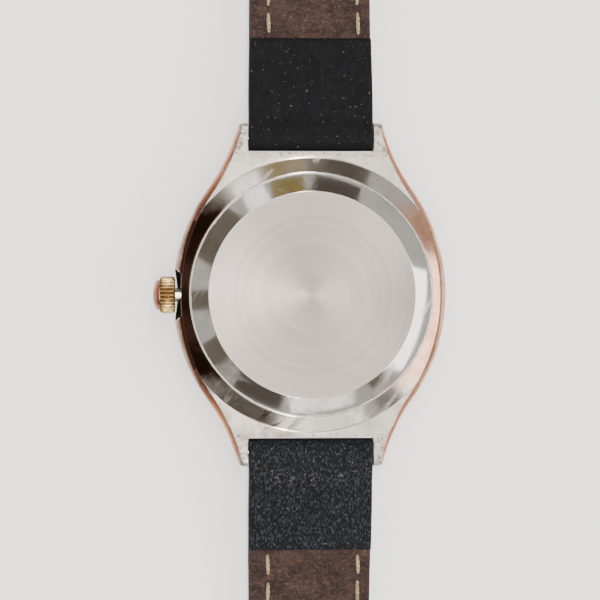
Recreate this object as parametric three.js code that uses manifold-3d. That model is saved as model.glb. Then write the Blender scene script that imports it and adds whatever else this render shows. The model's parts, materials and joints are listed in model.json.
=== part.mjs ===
// A hand-wound wristwatch lying face down, with its two leather strap halves laid out.
// Millimetres. Origin: centre of the crystal's flat outer face. +Z runs from the crystal to the
// caseback, +Y to twelve o'clock (the buckle half of the strap), and the crown is on the -X side.
import * as THREE from 'three';
import { mergeVertices } from 'three/addons/utils/BufferGeometryUtils.js';
import Module from 'manifold-3d';

const wasm = await Module();
wasm.setup();

// Driving dimensions of the case
const caseRadius = 19.5;
const flankRadius = 25.4;
const caseWall = 4.1;
const casePlateReach = 0.7;
const bezelWidth = 2.4;
const crystalFace = 1.4;
const crystalRise = 2.3;
const bezelStart = 0.6;
const caseFront = 2.6;
const dialThickness = 0.4;
const flangeDepth = 0.5;
const movementDepth = 4.6;
const casebackThickness = 1.3;
const casebackLedge = 2.3;
const ringDrop = 1.0;
const ringWidth = 2.3;

// Driving dimensions of the lugs, crown and strap
const lugGap = 18;
const lugWidth = 1.4;
const lugTipReach = 2.1;
const barDiameter = 1.5;
const barDepth = 0.8;
const crownDiameter = 5.2;
const crownLength = 2.2;
const crownDome = 0.93;
const crownGap = 0.84;
const crownRecess = 1.1;
const crownFlutes = 28;
const stemDiameter = 0.7;
const tubeDiameter = 1.95;
const strapThickness = 2.2;
const liningThickness = 0.7;
const strapTipWidth = 16;
const loopWall = 0.85;
const rootLength = 17;
const rootThickness = 3;
const longMidLength = 45;
const longTipLength = 53;
const shortTipLength = 55;
const flexUp = 30;
const flexDown = 10;
const keeperWidth = 5;
const keeperWall = 0.8;
const buckleBarDiameter = 1.2;
const frameArm = 1.6;
const frameDepth = 10.2;
const frameThickness = 1.9;
const tongueWidth = 2.4;
const tongueThickness = 0.9;
const holeCount = 7;
const holePitch = 6;
const holeDiameter = 1.8;

// Named clearances
const seatGap = 0.1;
const turnGap = 0.3;
const sideGap = 0.2;
const wheelGap = 0.15;

// Heights and radii that follow from the sizes above
const dialFront = caseFront + flangeDepth + 0.2;
const dialBack = dialFront + dialThickness;
const movementBase = dialBack + 0.1;
const movementTop = movementBase + movementDepth;
const casebackInside = movementTop + 0.5;
const casebackTop = casebackInside + casebackThickness;
const caseBack = casebackInside - 0.5;
const plateLevel = caseBack - ringDrop;
const stemHeight = movementBase + 1.7;
const barHeight = plateLevel - 0.8;
const boreRadius = caseRadius - caseWall;
const snapRadius = boreRadius + 0.5;
const crystalRadius = boreRadius - sideGap;
const gasketRadius = crystalRadius + seatGap + 0.4;
const bezelInside = gasketRadius + seatGap;
const casebackRadius = caseRadius - casebackLedge;
const casebackFlatRadius = casebackRadius - 2.5;
const stepRadius = casebackRadius + 0.1;
const dialRadius = boreRadius - 0.5;
const flangeRadius = dialRadius - 0.7;
const loopRadius = barDiameter / 2 + turnGap + loopWall;
const plateReach = caseRadius + casePlateReach;
const barDistance = plateReach + sideGap + loopRadius;
const lugTip = barDistance + lugTipReach;
const strapWidth = lugGap - 2 * seatGap;
const crownInner = caseRadius - crownRecess + crownGap;
const crownOuter = crownInner + crownLength;
const scoopRadius = crownDiameter / 2 + 1.2;

// The movement is drawn for a calibre of this radius and scaled in plan to the room in the case
const calibreRadius = 12.5;
const holderWidth = 2.5;
const movementRadius = boreRadius - sideGap - holderWidth - sideGap;
const fit = movementRadius / calibreRadius;

// ---- solids ----------------------------------------------------------------------------------

function signedVolume(positions, triangles) {
  let sum = 0;
  const a = new THREE.Vector3();
  const b = new THREE.Vector3();
  const c = new THREE.Vector3();
  for (let i = 0; i < triangles.length; i += 3) {
    a.fromArray(positions, triangles[i] * 3);
    b.fromArray(positions, triangles[i + 1] * 3);
    c.fromArray(positions, triangles[i + 2] * 3);
    sum += a.dot(b.cross(c));
  }
  return sum;
}

// A closed geometry as a solid that can be joined and cut, with its faces pointing out
function solid(geometry) {
  const bare = geometry.clone();
  bare.deleteAttribute('normal');
  bare.deleteAttribute('uv');
  const merged = mergeVertices(bare, 1e-5);
  const positions = merged.attributes.position.array;
  const index = merged.index.array;
  const triangles = [];
  for (let i = 0; i < index.length; i += 3) {
    const [a, b, c] = [index[i], index[i + 1], index[i + 2]];
    if (a !== b && b !== c && c !== a) triangles.push(a, b, c);
  }
  if (signedVolume(positions, triangles) < 0) triangles.reverse();
  return new wasm.Manifold(new wasm.Mesh({
    numProp: 3,
    vertProperties: Float32Array.from(positions),
    triVerts: Uint32Array.from(triangles),
  }));
}

function joined(first, ...others) {
  return others.reduce((sum, other) => sum.add(other), first);
}

function cut(first, ...others) {
  return others.reduce((rest, other) => rest.subtract(other), first);
}

function geometryOf(manifold) {
  const mesh = manifold.getMesh();
  const geometry = new THREE.BufferGeometry();
  geometry.setAttribute('position', new THREE.BufferAttribute(mesh.vertProperties, 3));
  geometry.setIndex(new THREE.BufferAttribute(mesh.triVerts, 1));
  geometry.computeVertexNormals();
  return geometry;
}

function polar(radius, angle) {
  return new THREE.Vector2(radius * Math.cos(angle), radius * Math.sin(angle));
}

function degrees(value) {
  return value * Math.PI / 180;
}

// A ring or disc turned about Z from a closed outline of [radius, height] points
function turned(outline, segments = 48) {
  const points = outline.map(([radius, height]) => new THREE.Vector2(radius, height));
  points.push(points[0].clone());
  const geometry = new THREE.LatheGeometry(points, segments);
  geometry.rotateX(Math.PI / 2);
  return geometry;
}

function rod(radius, from, to, x = 0, y = 0, segments = 16) {
  const geometry = new THREE.CylinderGeometry(radius, radius, to - from, segments);
  geometry.rotateX(Math.PI / 2);
  geometry.translate(x, y, (from + to) / 2);
  return geometry;
}

function block(width, depth, height, x, y, z) {
  const geometry = new THREE.BoxGeometry(width, depth, height);
  geometry.translate(x, y, z);
  return geometry;
}

function slab(shape, from, to, curveSegments = 4) {
  const geometry = new THREE.ExtrudeGeometry(shape, { depth: to - from, bevelEnabled: false, curveSegments });
  geometry.translate(0, 0, from);
  return geometry;
}

// A shape drawn in the YZ plane, stretched along X
function acrossX(shape, halfWidth) {
  const geometry = new THREE.ExtrudeGeometry(shape, {
    depth: 2 * halfWidth, bevelEnabled: false, curveSegments: 5,
  });
  geometry.translate(0, 0, -halfWidth);
  geometry.applyMatrix4(new THREE.Matrix4().makeBasis(
    new THREE.Vector3(0, 1, 0), new THREE.Vector3(0, 0, 1), new THREE.Vector3(1, 0, 0),
  ));
  return geometry;
}

// A solid made along +Z laid along the winding stem, so that its height becomes distance out to -X
function alongStem(geometry) {
  geometry.rotateY(-Math.PI / 2);
  geometry.translate(0, 0, stemHeight);
  return geometry;
}

function rodAcrossX(radius, halfLength, y, z, segments = 16) {
  const geometry = new THREE.CylinderGeometry(radius, radius, 2 * halfLength, segments);
  geometry.rotateZ(Math.PI / 2);
  geometry.translate(0, y, z);
  return geometry;
}

// ---- finishes --------------------------------------------------------------------------------

function finish(color, roughness, metalness) {
  return new THREE.MeshStandardMaterial({ color, roughness, metalness });
}

const finishes = {
  roseGold: finish(0xb87d62, 0.35, 1),
  steel: finish(0xbdb8b4, 0.3, 1),
  brushed: finish(0xb5aeab, 0.45, 1),
  yellowGold: finish(0xc9a35c, 0.3, 1),
  brass: finish(0xb99a5b, 0.4, 1),
  nickel: finish(0xc9c6bf, 0.35, 1),
  blued: finish(0x2b3a63, 0.3, 1),
  rubber: finish(0x1c1c1e, 0.9, 0),
  glass: finish(0xdfe8ea, 0.05, 0),
  dialPaint: finish(0xe6e1d3, 0.5, 0),
  blackLeather: finish(0x1e2024, 0.75, 0),
  lining: finish(0x4d372c, 0.95, 0),
};

const watch = new THREE.Group();
watch.name = 'wristwatch';

function add(parent, name, shape, material) {
  const geometry = shape.isBufferGeometry ? shape : geometryOf(shape);
  const mesh = new THREE.Mesh(geometry, finishes[material]);
  mesh.name = name;
  parent.add(mesh);
  return mesh;
}

// ---- case ------------------------------------------------------------------------------------

// One quarter of the case seen along Z: a full flank that runs into a straight, rounded lug
function caseQuarter() {
  const centre = caseRadius - flankRadius;
  const lastAngle = Math.asin(0.79 * caseRadius / flankRadius);
  const tipX = lugGap / 2 + lugWidth;
  const quarter = new THREE.Path();
  quarter.absarc(centre, 0, flankRadius, 0, lastAngle, false);
  quarter.quadraticCurveTo(tipX + 1.2, lugTip - 5.1, tipX, lugTip - 0.7);
  quarter.quadraticCurveTo(tipX, lugTip, tipX - 0.7, lugTip);
  return quarter.getPoints(3);
}

function caseOutline() {
  const quarter = caseQuarter();
  const mirrored = [...quarter].reverse();
  const points = [
    ...quarter,
    ...mirrored.map((p) => new THREE.Vector2(-p.x, p.y)),
    ...quarter.map((p) => new THREE.Vector2(-p.x, -p.y)),
    ...mirrored.map((p) => new THREE.Vector2(p.x, -p.y)),
  ];
  return new THREE.Shape(points.filter((p, i) => p.distanceTo(points.at(i - 1)) > 1e-4));
}

// The lugs seen from the side: flat over the plate, then curving to the wrist at both tips
function lugProfile() {
  const tipFront = caseFront + 2.6;
  const shape = new THREE.Shape();
  shape.moveTo(-plateReach + 6, caseFront);
  shape.lineTo(plateReach - 6, caseFront);
  shape.quadraticCurveTo(plateReach, caseFront + 0.2, lugTip, tipFront);
  shape.lineTo(lugTip, plateLevel + 0.5);
  shape.quadraticCurveTo(barDistance, plateLevel, plateReach - 2, plateLevel);
  shape.lineTo(-plateReach + 2, plateLevel);
  shape.quadraticCurveTo(-barDistance, plateLevel, -lugTip, plateLevel + 0.5);
  shape.lineTo(-lugTip, tipFront);
  shape.quadraticCurveTo(-plateReach, caseFront + 0.2, -plateReach + 6, caseFront);
  return shape;
}

// The flanks are fullest at mid height and draw in towards the bezel and the caseback
function flankWidth(share) {
  const inset = share < 0.4 ? (0.4 - share) ** 2 * 5 : (share - 0.4) ** 2 * 2.8;
  return 1 - inset / caseRadius;
}

function caseBody() {
  const height = caseBack - caseFront + 0.2;
  const outline = new THREE.ExtrudeGeometry(caseOutline(), { depth: height, bevelEnabled: false, steps: 3 });
  const position = outline.attributes.position;
  for (let i = 0; i < position.count; i += 1) {
    position.setX(i, position.getX(i) * flankWidth(position.getZ(i) / height));
  }
  outline.translate(0, 0, caseFront);
  const ring = turned([
    [0, caseFront], [stepRadius + ringWidth - 0.4, caseFront],
    [stepRadius + ringWidth, plateLevel], [stepRadius, caseBack], [0, caseBack],
  ]);
  const full = solid(outline).intersect(
    joined(solid(acrossX(lugProfile(), caseRadius + 5)), solid(ring)),
  );
  const strapRoom = lugTip - plateReach + 4;
  const between = [1, -1].map((side) => solid(block(
    lugGap, strapRoom, 20, 0, side * (plateReach + strapRoom / 2), caseFront + 4,
  )));
  const pivots = [1, -1].map((side) => solid(rodAcrossX(
    0.5, lugGap / 2 + barDepth, side * barDistance, barHeight, 10,
  )));
  const bore = turned([
    [0, caseFront - 1], [flangeRadius, caseFront - 1], [flangeRadius, dialFront - 0.2],
    [boreRadius, dialFront - 0.2], [boreRadius, caseBack - 1.5], [snapRadius, caseBack - 1.5],
    [snapRadius, caseBack + 1], [0, caseBack + 1],
  ]);
  const groove = turned([
    [snapRadius + 0.15, caseBack - 0.5], [snapRadius + 0.85, caseBack - 0.5],
    [snapRadius + 0.85, caseBack + 1], [snapRadius + 0.15, caseBack + 1],
  ]);
  const scoop = alongStem(rod(scoopRadius, crownInner - crownGap, caseRadius + 4, 0, 0, 32));
  const tubeHole = alongStem(rod(tubeDiameter / 2 + seatGap, boreRadius - 1, caseRadius + 1));
  return cut(full, ...between, ...pivots, solid(bore), solid(groove), solid(scoop), solid(tubeHole));
}

const caseGroup = new THREE.Group();
watch.add(caseGroup);

add(caseGroup, 'case_middle', caseBody(), 'roseGold');

add(caseGroup, 'crystal', turned([
  [0, 0], [crystalRadius - 1, 0], [crystalRadius, 0.7], [crystalRadius, crystalRise],
  [crystalRadius - 1, crystalRise], [crystalRadius - 1, crystalFace], [0, crystalFace],
]), 'glass');

add(caseGroup, 'crystal_gasket', turned([
  [crystalRadius + seatGap, bezelStart + 0.5], [gasketRadius, bezelStart + 0.5],
  [gasketRadius, crystalRise], [crystalRadius + seatGap, crystalRise],
], 32), 'rubber');

add(caseGroup, 'bezel', turned([
  [bezelInside, bezelStart], [bezelInside + 0.8, bezelStart],
  [bezelInside + bezelWidth - 0.3, bezelStart + 0.9],
  [bezelInside + bezelWidth, caseFront - wheelGap], [bezelInside, caseFront - wheelGap],
]), 'roseGold');

add(caseGroup, 'caseback_gasket', turned([
  [snapRadius + 0.25, caseBack - 0.4], [snapRadius + 0.75, caseBack - 0.4],
  [snapRadius + 0.75, caseBack + 0.05], [snapRadius + 0.25, caseBack + 0.05],
], 32), 'rubber');

add(caseGroup, 'caseback', turned([
  [0, casebackInside], [snapRadius - 0.9, casebackInside], [snapRadius - 0.9, caseBack - 1.2],
  [snapRadius - 0.2, caseBack - 1.2], [snapRadius - 0.2, caseBack + 0.2],
  [casebackRadius, caseBack + 0.2], [casebackRadius, caseBack + 0.7],
  [casebackFlatRadius, casebackTop], [0, casebackTop],
]), 'brushed');

for (const [name, side] of [['spring_bar_12', 1], ['spring_bar_6', -1]]) {
  const sleeve = solid(rodAcrossX(barDiameter / 2, lugGap / 2 - turnGap, side * barDistance, barHeight, 12));
  const pivot = solid(rodAcrossX(0.35, lugGap / 2 + barDepth - turnGap, side * barDistance, barHeight, 8));
  add(caseGroup, name, joined(sleeve, pivot), 'steel');
}

// ---- crown and winding stem ------------------------------------------------------------------

const crownGroup = new THREE.Group();
watch.add(crownGroup);

const tubeReach = crownInner + 0.7;
const crownBore = tubeDiameter / 2 + 0.2;

function crownShape() {
  const ridge = crownDiameter / 2;
  const points = [];
  for (let i = 0; i < crownFlutes; i += 1) {
    const turn = 2 * Math.PI * i / crownFlutes;
    points.push(polar(ridge, turn), polar(ridge - 0.18, turn + Math.PI / crownFlutes));
  }
  return new THREE.Shape(points);
}

const crownBody = joined(
  solid(slab(crownShape(), crownInner, crownOuter)),
  solid(turned([
    [0, crownOuter - 0.3], [crownDiameter / 2 - 0.3, crownOuter - 0.3],
    [crownDiameter / 2 - 0.3, crownOuter + 0.2],
    [crownDiameter / 2 - 1, crownOuter + crownDome - 0.15], [0, crownOuter + crownDome],
  ], 32)),
);
const crownHole = joined(
  solid(rod(crownBore, crownInner - 1, tubeReach + 0.5, 0, 0, 20)),
  solid(rod(stemDiameter / 2 + seatGap, crownInner, crownOuter, 0, 0, 12)),
);
add(crownGroup, 'crown', alongStem(geometryOf(cut(crownBody, crownHole))), 'yellowGold');

add(crownGroup, 'crown_tube', alongStem(turned([
  [stemDiameter / 2 + 0.2, boreRadius + 0.2], [tubeDiameter / 2, boreRadius + 0.2],
  [tubeDiameter / 2, tubeReach], [stemDiameter / 2 + 0.2, tubeReach],
], 20)), 'steel');

const slidingRest = 5.6 * fit;
const slidingLength = 1.7;
const windingRest = 7.6 * fit;
const windingLength = 1.3;
const stemTip = slidingRest - 0.7;
add(crownGroup, 'stem', alongStem(
  rod(stemDiameter / 2, stemTip, crownOuter - seatGap, 0, 0, 10),
), 'steel');

function toothed(teeth, module, from, to, bore, toothAt = 0) {
  const shape = gearShape(teeth, module, toothAt);
  if (bore > 0) shape.holes.push(new THREE.Path().absarc(0, 0, bore, 0, 2 * Math.PI, true));
  return slab(shape, from, to);
}

// Pointed teeth: the tip stands above the pitch circle by less than the valley lies under it
function gearShape(teeth, module, toothAt) {
  const points = [];
  for (let i = 0; i < teeth; i += 1) {
    const angle = toothAt + 2 * Math.PI * i / teeth;
    points.push(polar(module * (teeth / 2 + 0.6), angle));
    points.push(polar(module * (teeth / 2 - 0.9), angle + Math.PI / teeth));
  }
  return new THREE.Shape(points);
}

const pinionBore = stemDiameter / 2 + seatGap;
add(crownGroup, 'winding_pinion', alongStem(
  toothed(16, 0.16, windingRest, windingRest + windingLength, pinionBore),
), 'steel');

const slidingRadius = 0.85;
const grooveRadius = 0.65;
add(crownGroup, 'sliding_pinion', alongStem(turned([
  [pinionBore, slidingRest], [slidingRadius, slidingRest], [slidingRadius, slidingRest + 0.6],
  [grooveRadius, slidingRest + 0.7], [grooveRadius, slidingRest + 1],
  [slidingRadius, slidingRest + 1.1], [slidingRadius, slidingRest + slidingLength],
  [pinionBore, slidingRest + slidingLength],
], 16)), 'steel');

// ---- movement --------------------------------------------------------------------------------

const movement = new THREE.Group();
movement.scale.set(fit, fit, 1);
movement.position.z = movementBase;
watch.add(movement);

// Heights above the movement's dial side
const plateBottom = 1.0;
const plateTop = 2.4;
const barrelFloor = 1.35;
const trainLow = [2.6, 2.8];
const trainHigh = [3.1, 3.25];
const windingLevel = [3.15, 3.45];
const barrelBridgeLevel = [2.65, 3.05];
const trainBridgeLevel = [3.6, 4.05];
const balanceLevel = [3.7, 4.05];
const hairspringLevel = [4.15, 4.3];
const cockLevel = [4.4, 4.65];
const palletCockLevel = [3.35, 3.55];

// Tooth counts, modules and places of the wheels
const teeth = {
  barrel: 70, centrePinion: 10, centre: 64, thirdPinion: 8, third: 60, fourthPinion: 8,
  fourth: 70, escapePinion: 7, escape: 15, cannon: 10, minute: 30, minutePinion: 8, hour: 32,
  setting: 12, crownWheel: 24, ratchet: 45,
};
const modules = { barrel: 0.15, centre: 0.11, third: 0.1, fourth: 0.085, motion: 0.1, winding: 0.2 };

function spacing(module, first, second) {
  return module * (first + second) / 2;
}

// A point at given distances from two others, on the left of the line between them when side is 1
function meeting(a, fromA, b, fromB, side) {
  const line = new THREE.Vector2().subVectors(b, a);
  const span = line.length();
  const along = (fromA ** 2 - fromB ** 2 + span ** 2) / (2 * span);
  const across = side * Math.sqrt(fromA ** 2 - along ** 2);
  const unit = line.normalize();
  return new THREE.Vector2(
    a.x + unit.x * along - unit.y * across,
    a.y + unit.y * along + unit.x * across,
  );
}

const centreAt = new THREE.Vector2(0, 0);
const barrelAt = polar(spacing(modules.barrel, teeth.barrel, teeth.centrePinion), degrees(110));
const fourthAt = new THREE.Vector2(0, -7);
const thirdAt = meeting(
  centreAt, spacing(modules.centre, teeth.centre, teeth.thirdPinion),
  fourthAt, spacing(modules.third, teeth.third, teeth.fourthPinion), -1,
);
const escapeAt = polar(spacing(modules.fourth, teeth.fourth, teeth.escapePinion), degrees(5)).add(fourthAt);
const balanceAt = new THREE.Vector2(7.2, -1.8);
const palletAt = escapeAt.clone().add(balanceAt.clone().sub(escapeAt).setLength(2.75));
const minuteAt = new THREE.Vector2(-spacing(modules.motion, teeth.cannon, teeth.minute), 0);
const settingAt = new THREE.Vector2(minuteAt.x - spacing(modules.motion, teeth.minute, teeth.setting), 0);
const winderSpacing = spacing(modules.winding, teeth.ratchet, teeth.crownWheel);
const crownWheelAt = new THREE.Vector2(barrelAt.x - Math.sqrt(winderSpacing ** 2 - barrelAt.y ** 2), 0);

function directionTo(from, to) {
  return Math.atan2(to.y - from.y, to.x - from.x);
}

// Turns the second gear of a pair so that a valley of it faces a tooth of the first
function meshedTurn(from, count, turn, to, otherCount) {
  const line = directionTo(from, to);
  const past = ((line - turn) * count) / (2 * Math.PI);
  return line + Math.PI - ((0.5 - past) * 2 * Math.PI) / otherCount;
}

function roundHole(at, radius) {
  return new THREE.Path().absarc(at.x, at.y, radius, 0, 2 * Math.PI, true);
}

function placedSolid(geometry, at) {
  geometry.translate(at.x, at.y, 0);
  return solid(geometry);
}

// Windows between the spokes of a wheel
function crossings(shape, inner, outer, count) {
  for (let i = 0; i < count; i += 1) {
    const from = 2 * Math.PI * (i + 0.16) / count;
    const to = 2 * Math.PI * (i + 0.84) / count;
    const turns = [0, 1 / 3, 2 / 3, 1].map((share) => from + (to - from) * share);
    shape.holes.push(new THREE.Path([
      ...turns.map((turn) => polar(outer, turn)),
      ...turns.reverse().map((turn) => polar(inner, turn)),
    ]));
  }
  return shape;
}

// A wheel with its pinion on one arbor
function arborWheel(at, { wheel, wheelModule, wheelTurn, wheelLevel, windows, pinion, pinionModule,
  pinionTurn, pinionLevel, arbor, arborRadius = 0.2 }) {
  const wheelShape = gearShape(wheel, wheelModule, wheelTurn);
  const radius = wheelModule * wheel / 2;
  if (windows) crossings(wheelShape, radius * 0.32, radius * 0.78, windows);
  return joined(
    placedSolid(slab(wheelShape, ...wheelLevel), at),
    placedSolid(slab(gearShape(pinion, pinionModule, pinionTurn), ...pinionLevel), at),
    solid(rod(arborRadius, ...arbor, at.x, at.y, 10)),
  );
}

// Going train
const barrelTurn = directionTo(barrelAt, centreAt);
const centrePinionTurn = meshedTurn(barrelAt, teeth.barrel, barrelTurn, centreAt, teeth.centrePinion);
const centreTurn = directionTo(centreAt, thirdAt);
const thirdPinionTurn = meshedTurn(centreAt, teeth.centre, centreTurn, thirdAt, teeth.thirdPinion);
const thirdTurn = directionTo(thirdAt, fourthAt);
const fourthPinionTurn = meshedTurn(thirdAt, teeth.third, thirdTurn, fourthAt, teeth.fourthPinion);
const fourthTurn = directionTo(fourthAt, escapeAt);
const escapePinionTurn = meshedTurn(fourthAt, teeth.fourth, fourthTurn, escapeAt, teeth.escapePinion);

const barrelRadius = modules.barrel * (teeth.barrel / 2 - 0.9);
const barrelTop = plateTop + 0.05;
const arborHub = 0.9;

function barrelDrum() {
  const rim = toothed(teeth.barrel, modules.barrel, barrelTop - 0.35, barrelTop, arborHub, barrelTurn);
  const drum = turned([
    [arborHub, barrelFloor], [barrelRadius - 0.1, barrelFloor], [barrelRadius - 0.1, barrelTop],
    [barrelRadius - 0.6, barrelTop], [barrelRadius - 0.6, barrelFloor + 0.25],
    [arborHub, barrelFloor + 0.25],
  ], 40);
  const room = rod(barrelRadius - 0.6, barrelFloor + 0.25, barrelTop + 1, 0, 0, 40);
  return cut(joined(placedSolid(drum, barrelAt), placedSolid(rim, barrelAt)), placedSolid(room, barrelAt));
}
add(movement, 'mainspring_barrel', barrelDrum(), 'brass');

// A flat strip wound as a spiral
function spiral(inner, outer, turns, thickness, level, steps) {
  const edge = (offset) => Array.from({ length: steps + 1 }, (_, i) => polar(
    inner + (outer - inner) * i / steps + offset, 2 * Math.PI * turns * i / steps,
  ));
  const shape = new THREE.Shape([...edge(0), ...edge(thickness).reverse()]);
  return slab(shape, ...level);
}
add(movement, 'mainspring', placedSolid(
  spiral(1.5, barrelRadius - 1.1, 4, 0.3, [barrelFloor + 0.35, barrelTop - 0.1], 44), barrelAt,
), 'steel');

add(movement, 'center_wheel', arborWheel(centreAt, {
  wheel: teeth.centre, wheelModule: modules.centre, wheelTurn: centreTurn, wheelLevel: trainLow,
  windows: 4, pinion: teeth.centrePinion, pinionModule: modules.barrel, pinionTurn: centrePinionTurn,
  pinionLevel: [barrelTop - 0.6, trainLow[0]], arbor: [-1.4, trainBridgeLevel[1] - 0.1],
}), 'brass');

add(movement, 'third_wheel', arborWheel(thirdAt, {
  wheel: teeth.third, wheelModule: modules.third, wheelTurn: thirdTurn, wheelLevel: trainHigh,
  windows: 4, pinion: teeth.thirdPinion, pinionModule: modules.centre, pinionTurn: thirdPinionTurn,
  pinionLevel: [trainLow[0] - 0.1, trainHigh[0]], arbor: [plateBottom + 0.2, trainBridgeLevel[1] - 0.1],
}), 'brass');

add(movement, 'fourth_wheel', arborWheel(fourthAt, {
  wheel: teeth.fourth, wheelModule: modules.fourth, wheelTurn: fourthTurn, wheelLevel: trainLow,
  windows: 4, pinion: teeth.fourthPinion, pinionModule: modules.third, pinionTurn: fourthPinionTurn,
  pinionLevel: [trainLow[1], trainHigh[1] + 0.1], arbor: [-1.55, trainBridgeLevel[1] - 0.1],
}), 'brass');

add(movement, 'escape_wheel', arborWheel(escapeAt, {
  wheel: teeth.escape, wheelModule: 0.26, wheelTurn: 0, wheelLevel: trainHigh,
  windows: 4, pinion: teeth.escapePinion, pinionModule: modules.fourth,
  pinionTurn: escapePinionTurn, pinionLevel: [trainLow[0] - 0.1, trainHigh[0]],
  arbor: [plateBottom + 0.2, trainBridgeLevel[1] - 0.1], arborRadius: 0.15,
}), 'steel');

// Escapement: the fork reaches from its pivot towards the balance staff, its arms over the escape wheel
function palletFork() {
  const shape = new THREE.Shape([[2.5, 0.2], [2.5, 0.35], [2.1, 0.35], [1.9, 0.12], [0.4, 0.18],
    [-0.3, 0.4], [-0.75, 1.7], [-1.05, 1.65], [-0.7, 0.2], [-0.5, 0], [-0.7, -0.2], [-1.05, -1.65],
    [-0.75, -1.7], [-0.3, -0.4], [0.4, -0.18], [1.9, -0.12], [2.1, -0.35], [2.5, -0.35], [2.5, -0.2],
    [2.2, -0.1], [2.2, 0.1]].map(([x, y]) => new THREE.Vector2(x, y)));
  const fork = slab(shape, ...trainHigh);
  fork.rotateZ(directionTo(escapeAt, balanceAt));
  return joined(
    placedSolid(fork, palletAt),
    solid(rod(0.15, plateBottom + 0.3, palletCockLevel[1] - 0.05, palletAt.x, palletAt.y, 8)),
  );
}
add(movement, 'pallet_fork', palletFork(), 'steel');

const balanceRadius = 3.8;
function balanceWheel() {
  const shape = new THREE.Shape().absarc(0, 0, balanceRadius, 0, 2 * Math.PI, false);
  for (const from of [0.1, Math.PI + 0.1]) {
    const window = new THREE.Path();
    window.absarc(0, 0, balanceRadius - 0.45, from, from + Math.PI - 0.2, false);
    window.absarc(0, 0, 0.6, from + Math.PI - 0.4, from + 0.2, true);
    window.closePath();
    shape.holes.push(window);
  }
  return joined(
    placedSolid(slab(shape, ...balanceLevel, 14), balanceAt),
    solid(rod(0.2, plateBottom + 0.3, cockLevel[1] - 0.05, balanceAt.x, balanceAt.y, 10)),
    solid(rod(0.6, ...trainHigh, balanceAt.x, balanceAt.y, 12)),
  );
}
add(movement, 'balance_wheel', balanceWheel(), 'brass');
add(movement, 'hairspring', placedSolid(spiral(0.5, 2.4, 4, 0.08, hairspringLevel, 44), balanceAt), 'blued');

// Motion works between the dial and the main plate
const cannonTurn = 0;
const minuteTurn = meshedTurn(centreAt, teeth.cannon, cannonTurn, minuteAt, teeth.minute);
const minutePinionTurn = 0;
const hourTurn = meshedTurn(minuteAt, teeth.minutePinion, minutePinionTurn, centreAt, teeth.hour);
const settingTurn = meshedTurn(minuteAt, teeth.minute, minuteTurn, settingAt, teeth.setting);
const centreHole = 0.3;
const cannonRadius = 0.4;
const hourTube = 0.75;

function toothedWithTube(count, module, turn, level, bore, tube, tubeLevel, at) {
  const tubeSolid = cut(
    solid(rod(tube, ...tubeLevel, at.x, at.y, 16)),
    solid(rod(bore, tubeLevel[0] - 1, tubeLevel[1] + 1, at.x, at.y, 12)),
  );
  return joined(placedSolid(toothed(count, module, ...level, bore, turn), at), tubeSolid);
}
add(movement, 'cannon_pinion', toothedWithTube(
  teeth.cannon, modules.motion, cannonTurn, [0.5, 0.9], centreHole, cannonRadius, [-1.7, 0.9], centreAt,
), 'steel');
add(movement, 'hour_wheel', toothedWithTube(
  teeth.hour, modules.motion, hourTurn, [0.1, 0.3], cannonRadius + 0.1, hourTube, [-1.25, 0.3], centreAt,
), 'brass');
add(movement, 'minute_wheel', joined(
  placedSolid(slab(gearShape(teeth.minute, modules.motion, minuteTurn), 0.5, 0.7), minuteAt),
  placedSolid(slab(gearShape(teeth.minutePinion, modules.motion, minutePinionTurn), 0.1, 0.5), minuteAt),
  solid(rod(0.2, 0.05, plateBottom + 0.5, minuteAt.x, minuteAt.y, 8)),
), 'brass');
add(movement, 'setting_wheel', joined(
  placedSolid(slab(gearShape(teeth.setting, modules.motion, settingTurn), 0.5, 0.8), settingAt),
  solid(rod(0.15, 0.4, plateBottom + 0.5, settingAt.x, settingAt.y, 8)),
), 'steel');

// Winding works on the barrel bridge
const ratchetTurn = 0;
const crownWheelTurn = meshedTurn(barrelAt, teeth.ratchet, ratchetTurn, crownWheelAt, teeth.crownWheel);
add(movement, 'crown_wheel', joined(
  placedSolid(slab(gearShape(teeth.crownWheel, modules.winding, crownWheelTurn), ...windingLevel), crownWheelAt),
  solid(rod(0.4, barrelBridgeLevel[0] + 0.1, windingLevel[1] + 0.1, crownWheelAt.x, crownWheelAt.y, 12)),
), 'nickel');
const arborRadius = 0.55;
add(movement, 'barrel_arbor', joined(
  solid(rod(arborRadius, plateBottom + 0.05, windingLevel[1] + 0.15, barrelAt.x, barrelAt.y, 12)),
  solid(rod(1.2, barrelFloor + 0.35, barrelTop - 0.1, barrelAt.x, barrelAt.y, 16)),
), 'steel');
add(movement, 'ratchet_wheel', placedSolid(
  toothed(teeth.ratchet, modules.winding, ...windingLevel, arborRadius + 0.1, ratchetTurn), barrelAt,
), 'nickel');

const clickAt = barrelAt.clone().add(polar(5.9, degrees(28)));
function clickShape() {
  const shape = new THREE.Shape([[0.7, -0.5], [0.7, 0.5], [-0.4, 0.6], [-0.95, 2.1], [-1.15, 2], [-0.8, -0.4]]
    .map(([x, y]) => new THREE.Vector2(x, y)));
  shape.holes.push(roundHole(centreAt, 0.3));
  return shape;
}
const clickSlab = slab(clickShape(), ...windingLevel);
clickSlab.rotateZ(degrees(28));
add(movement, 'click', placedSolid(clickSlab, clickAt), 'steel');

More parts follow.
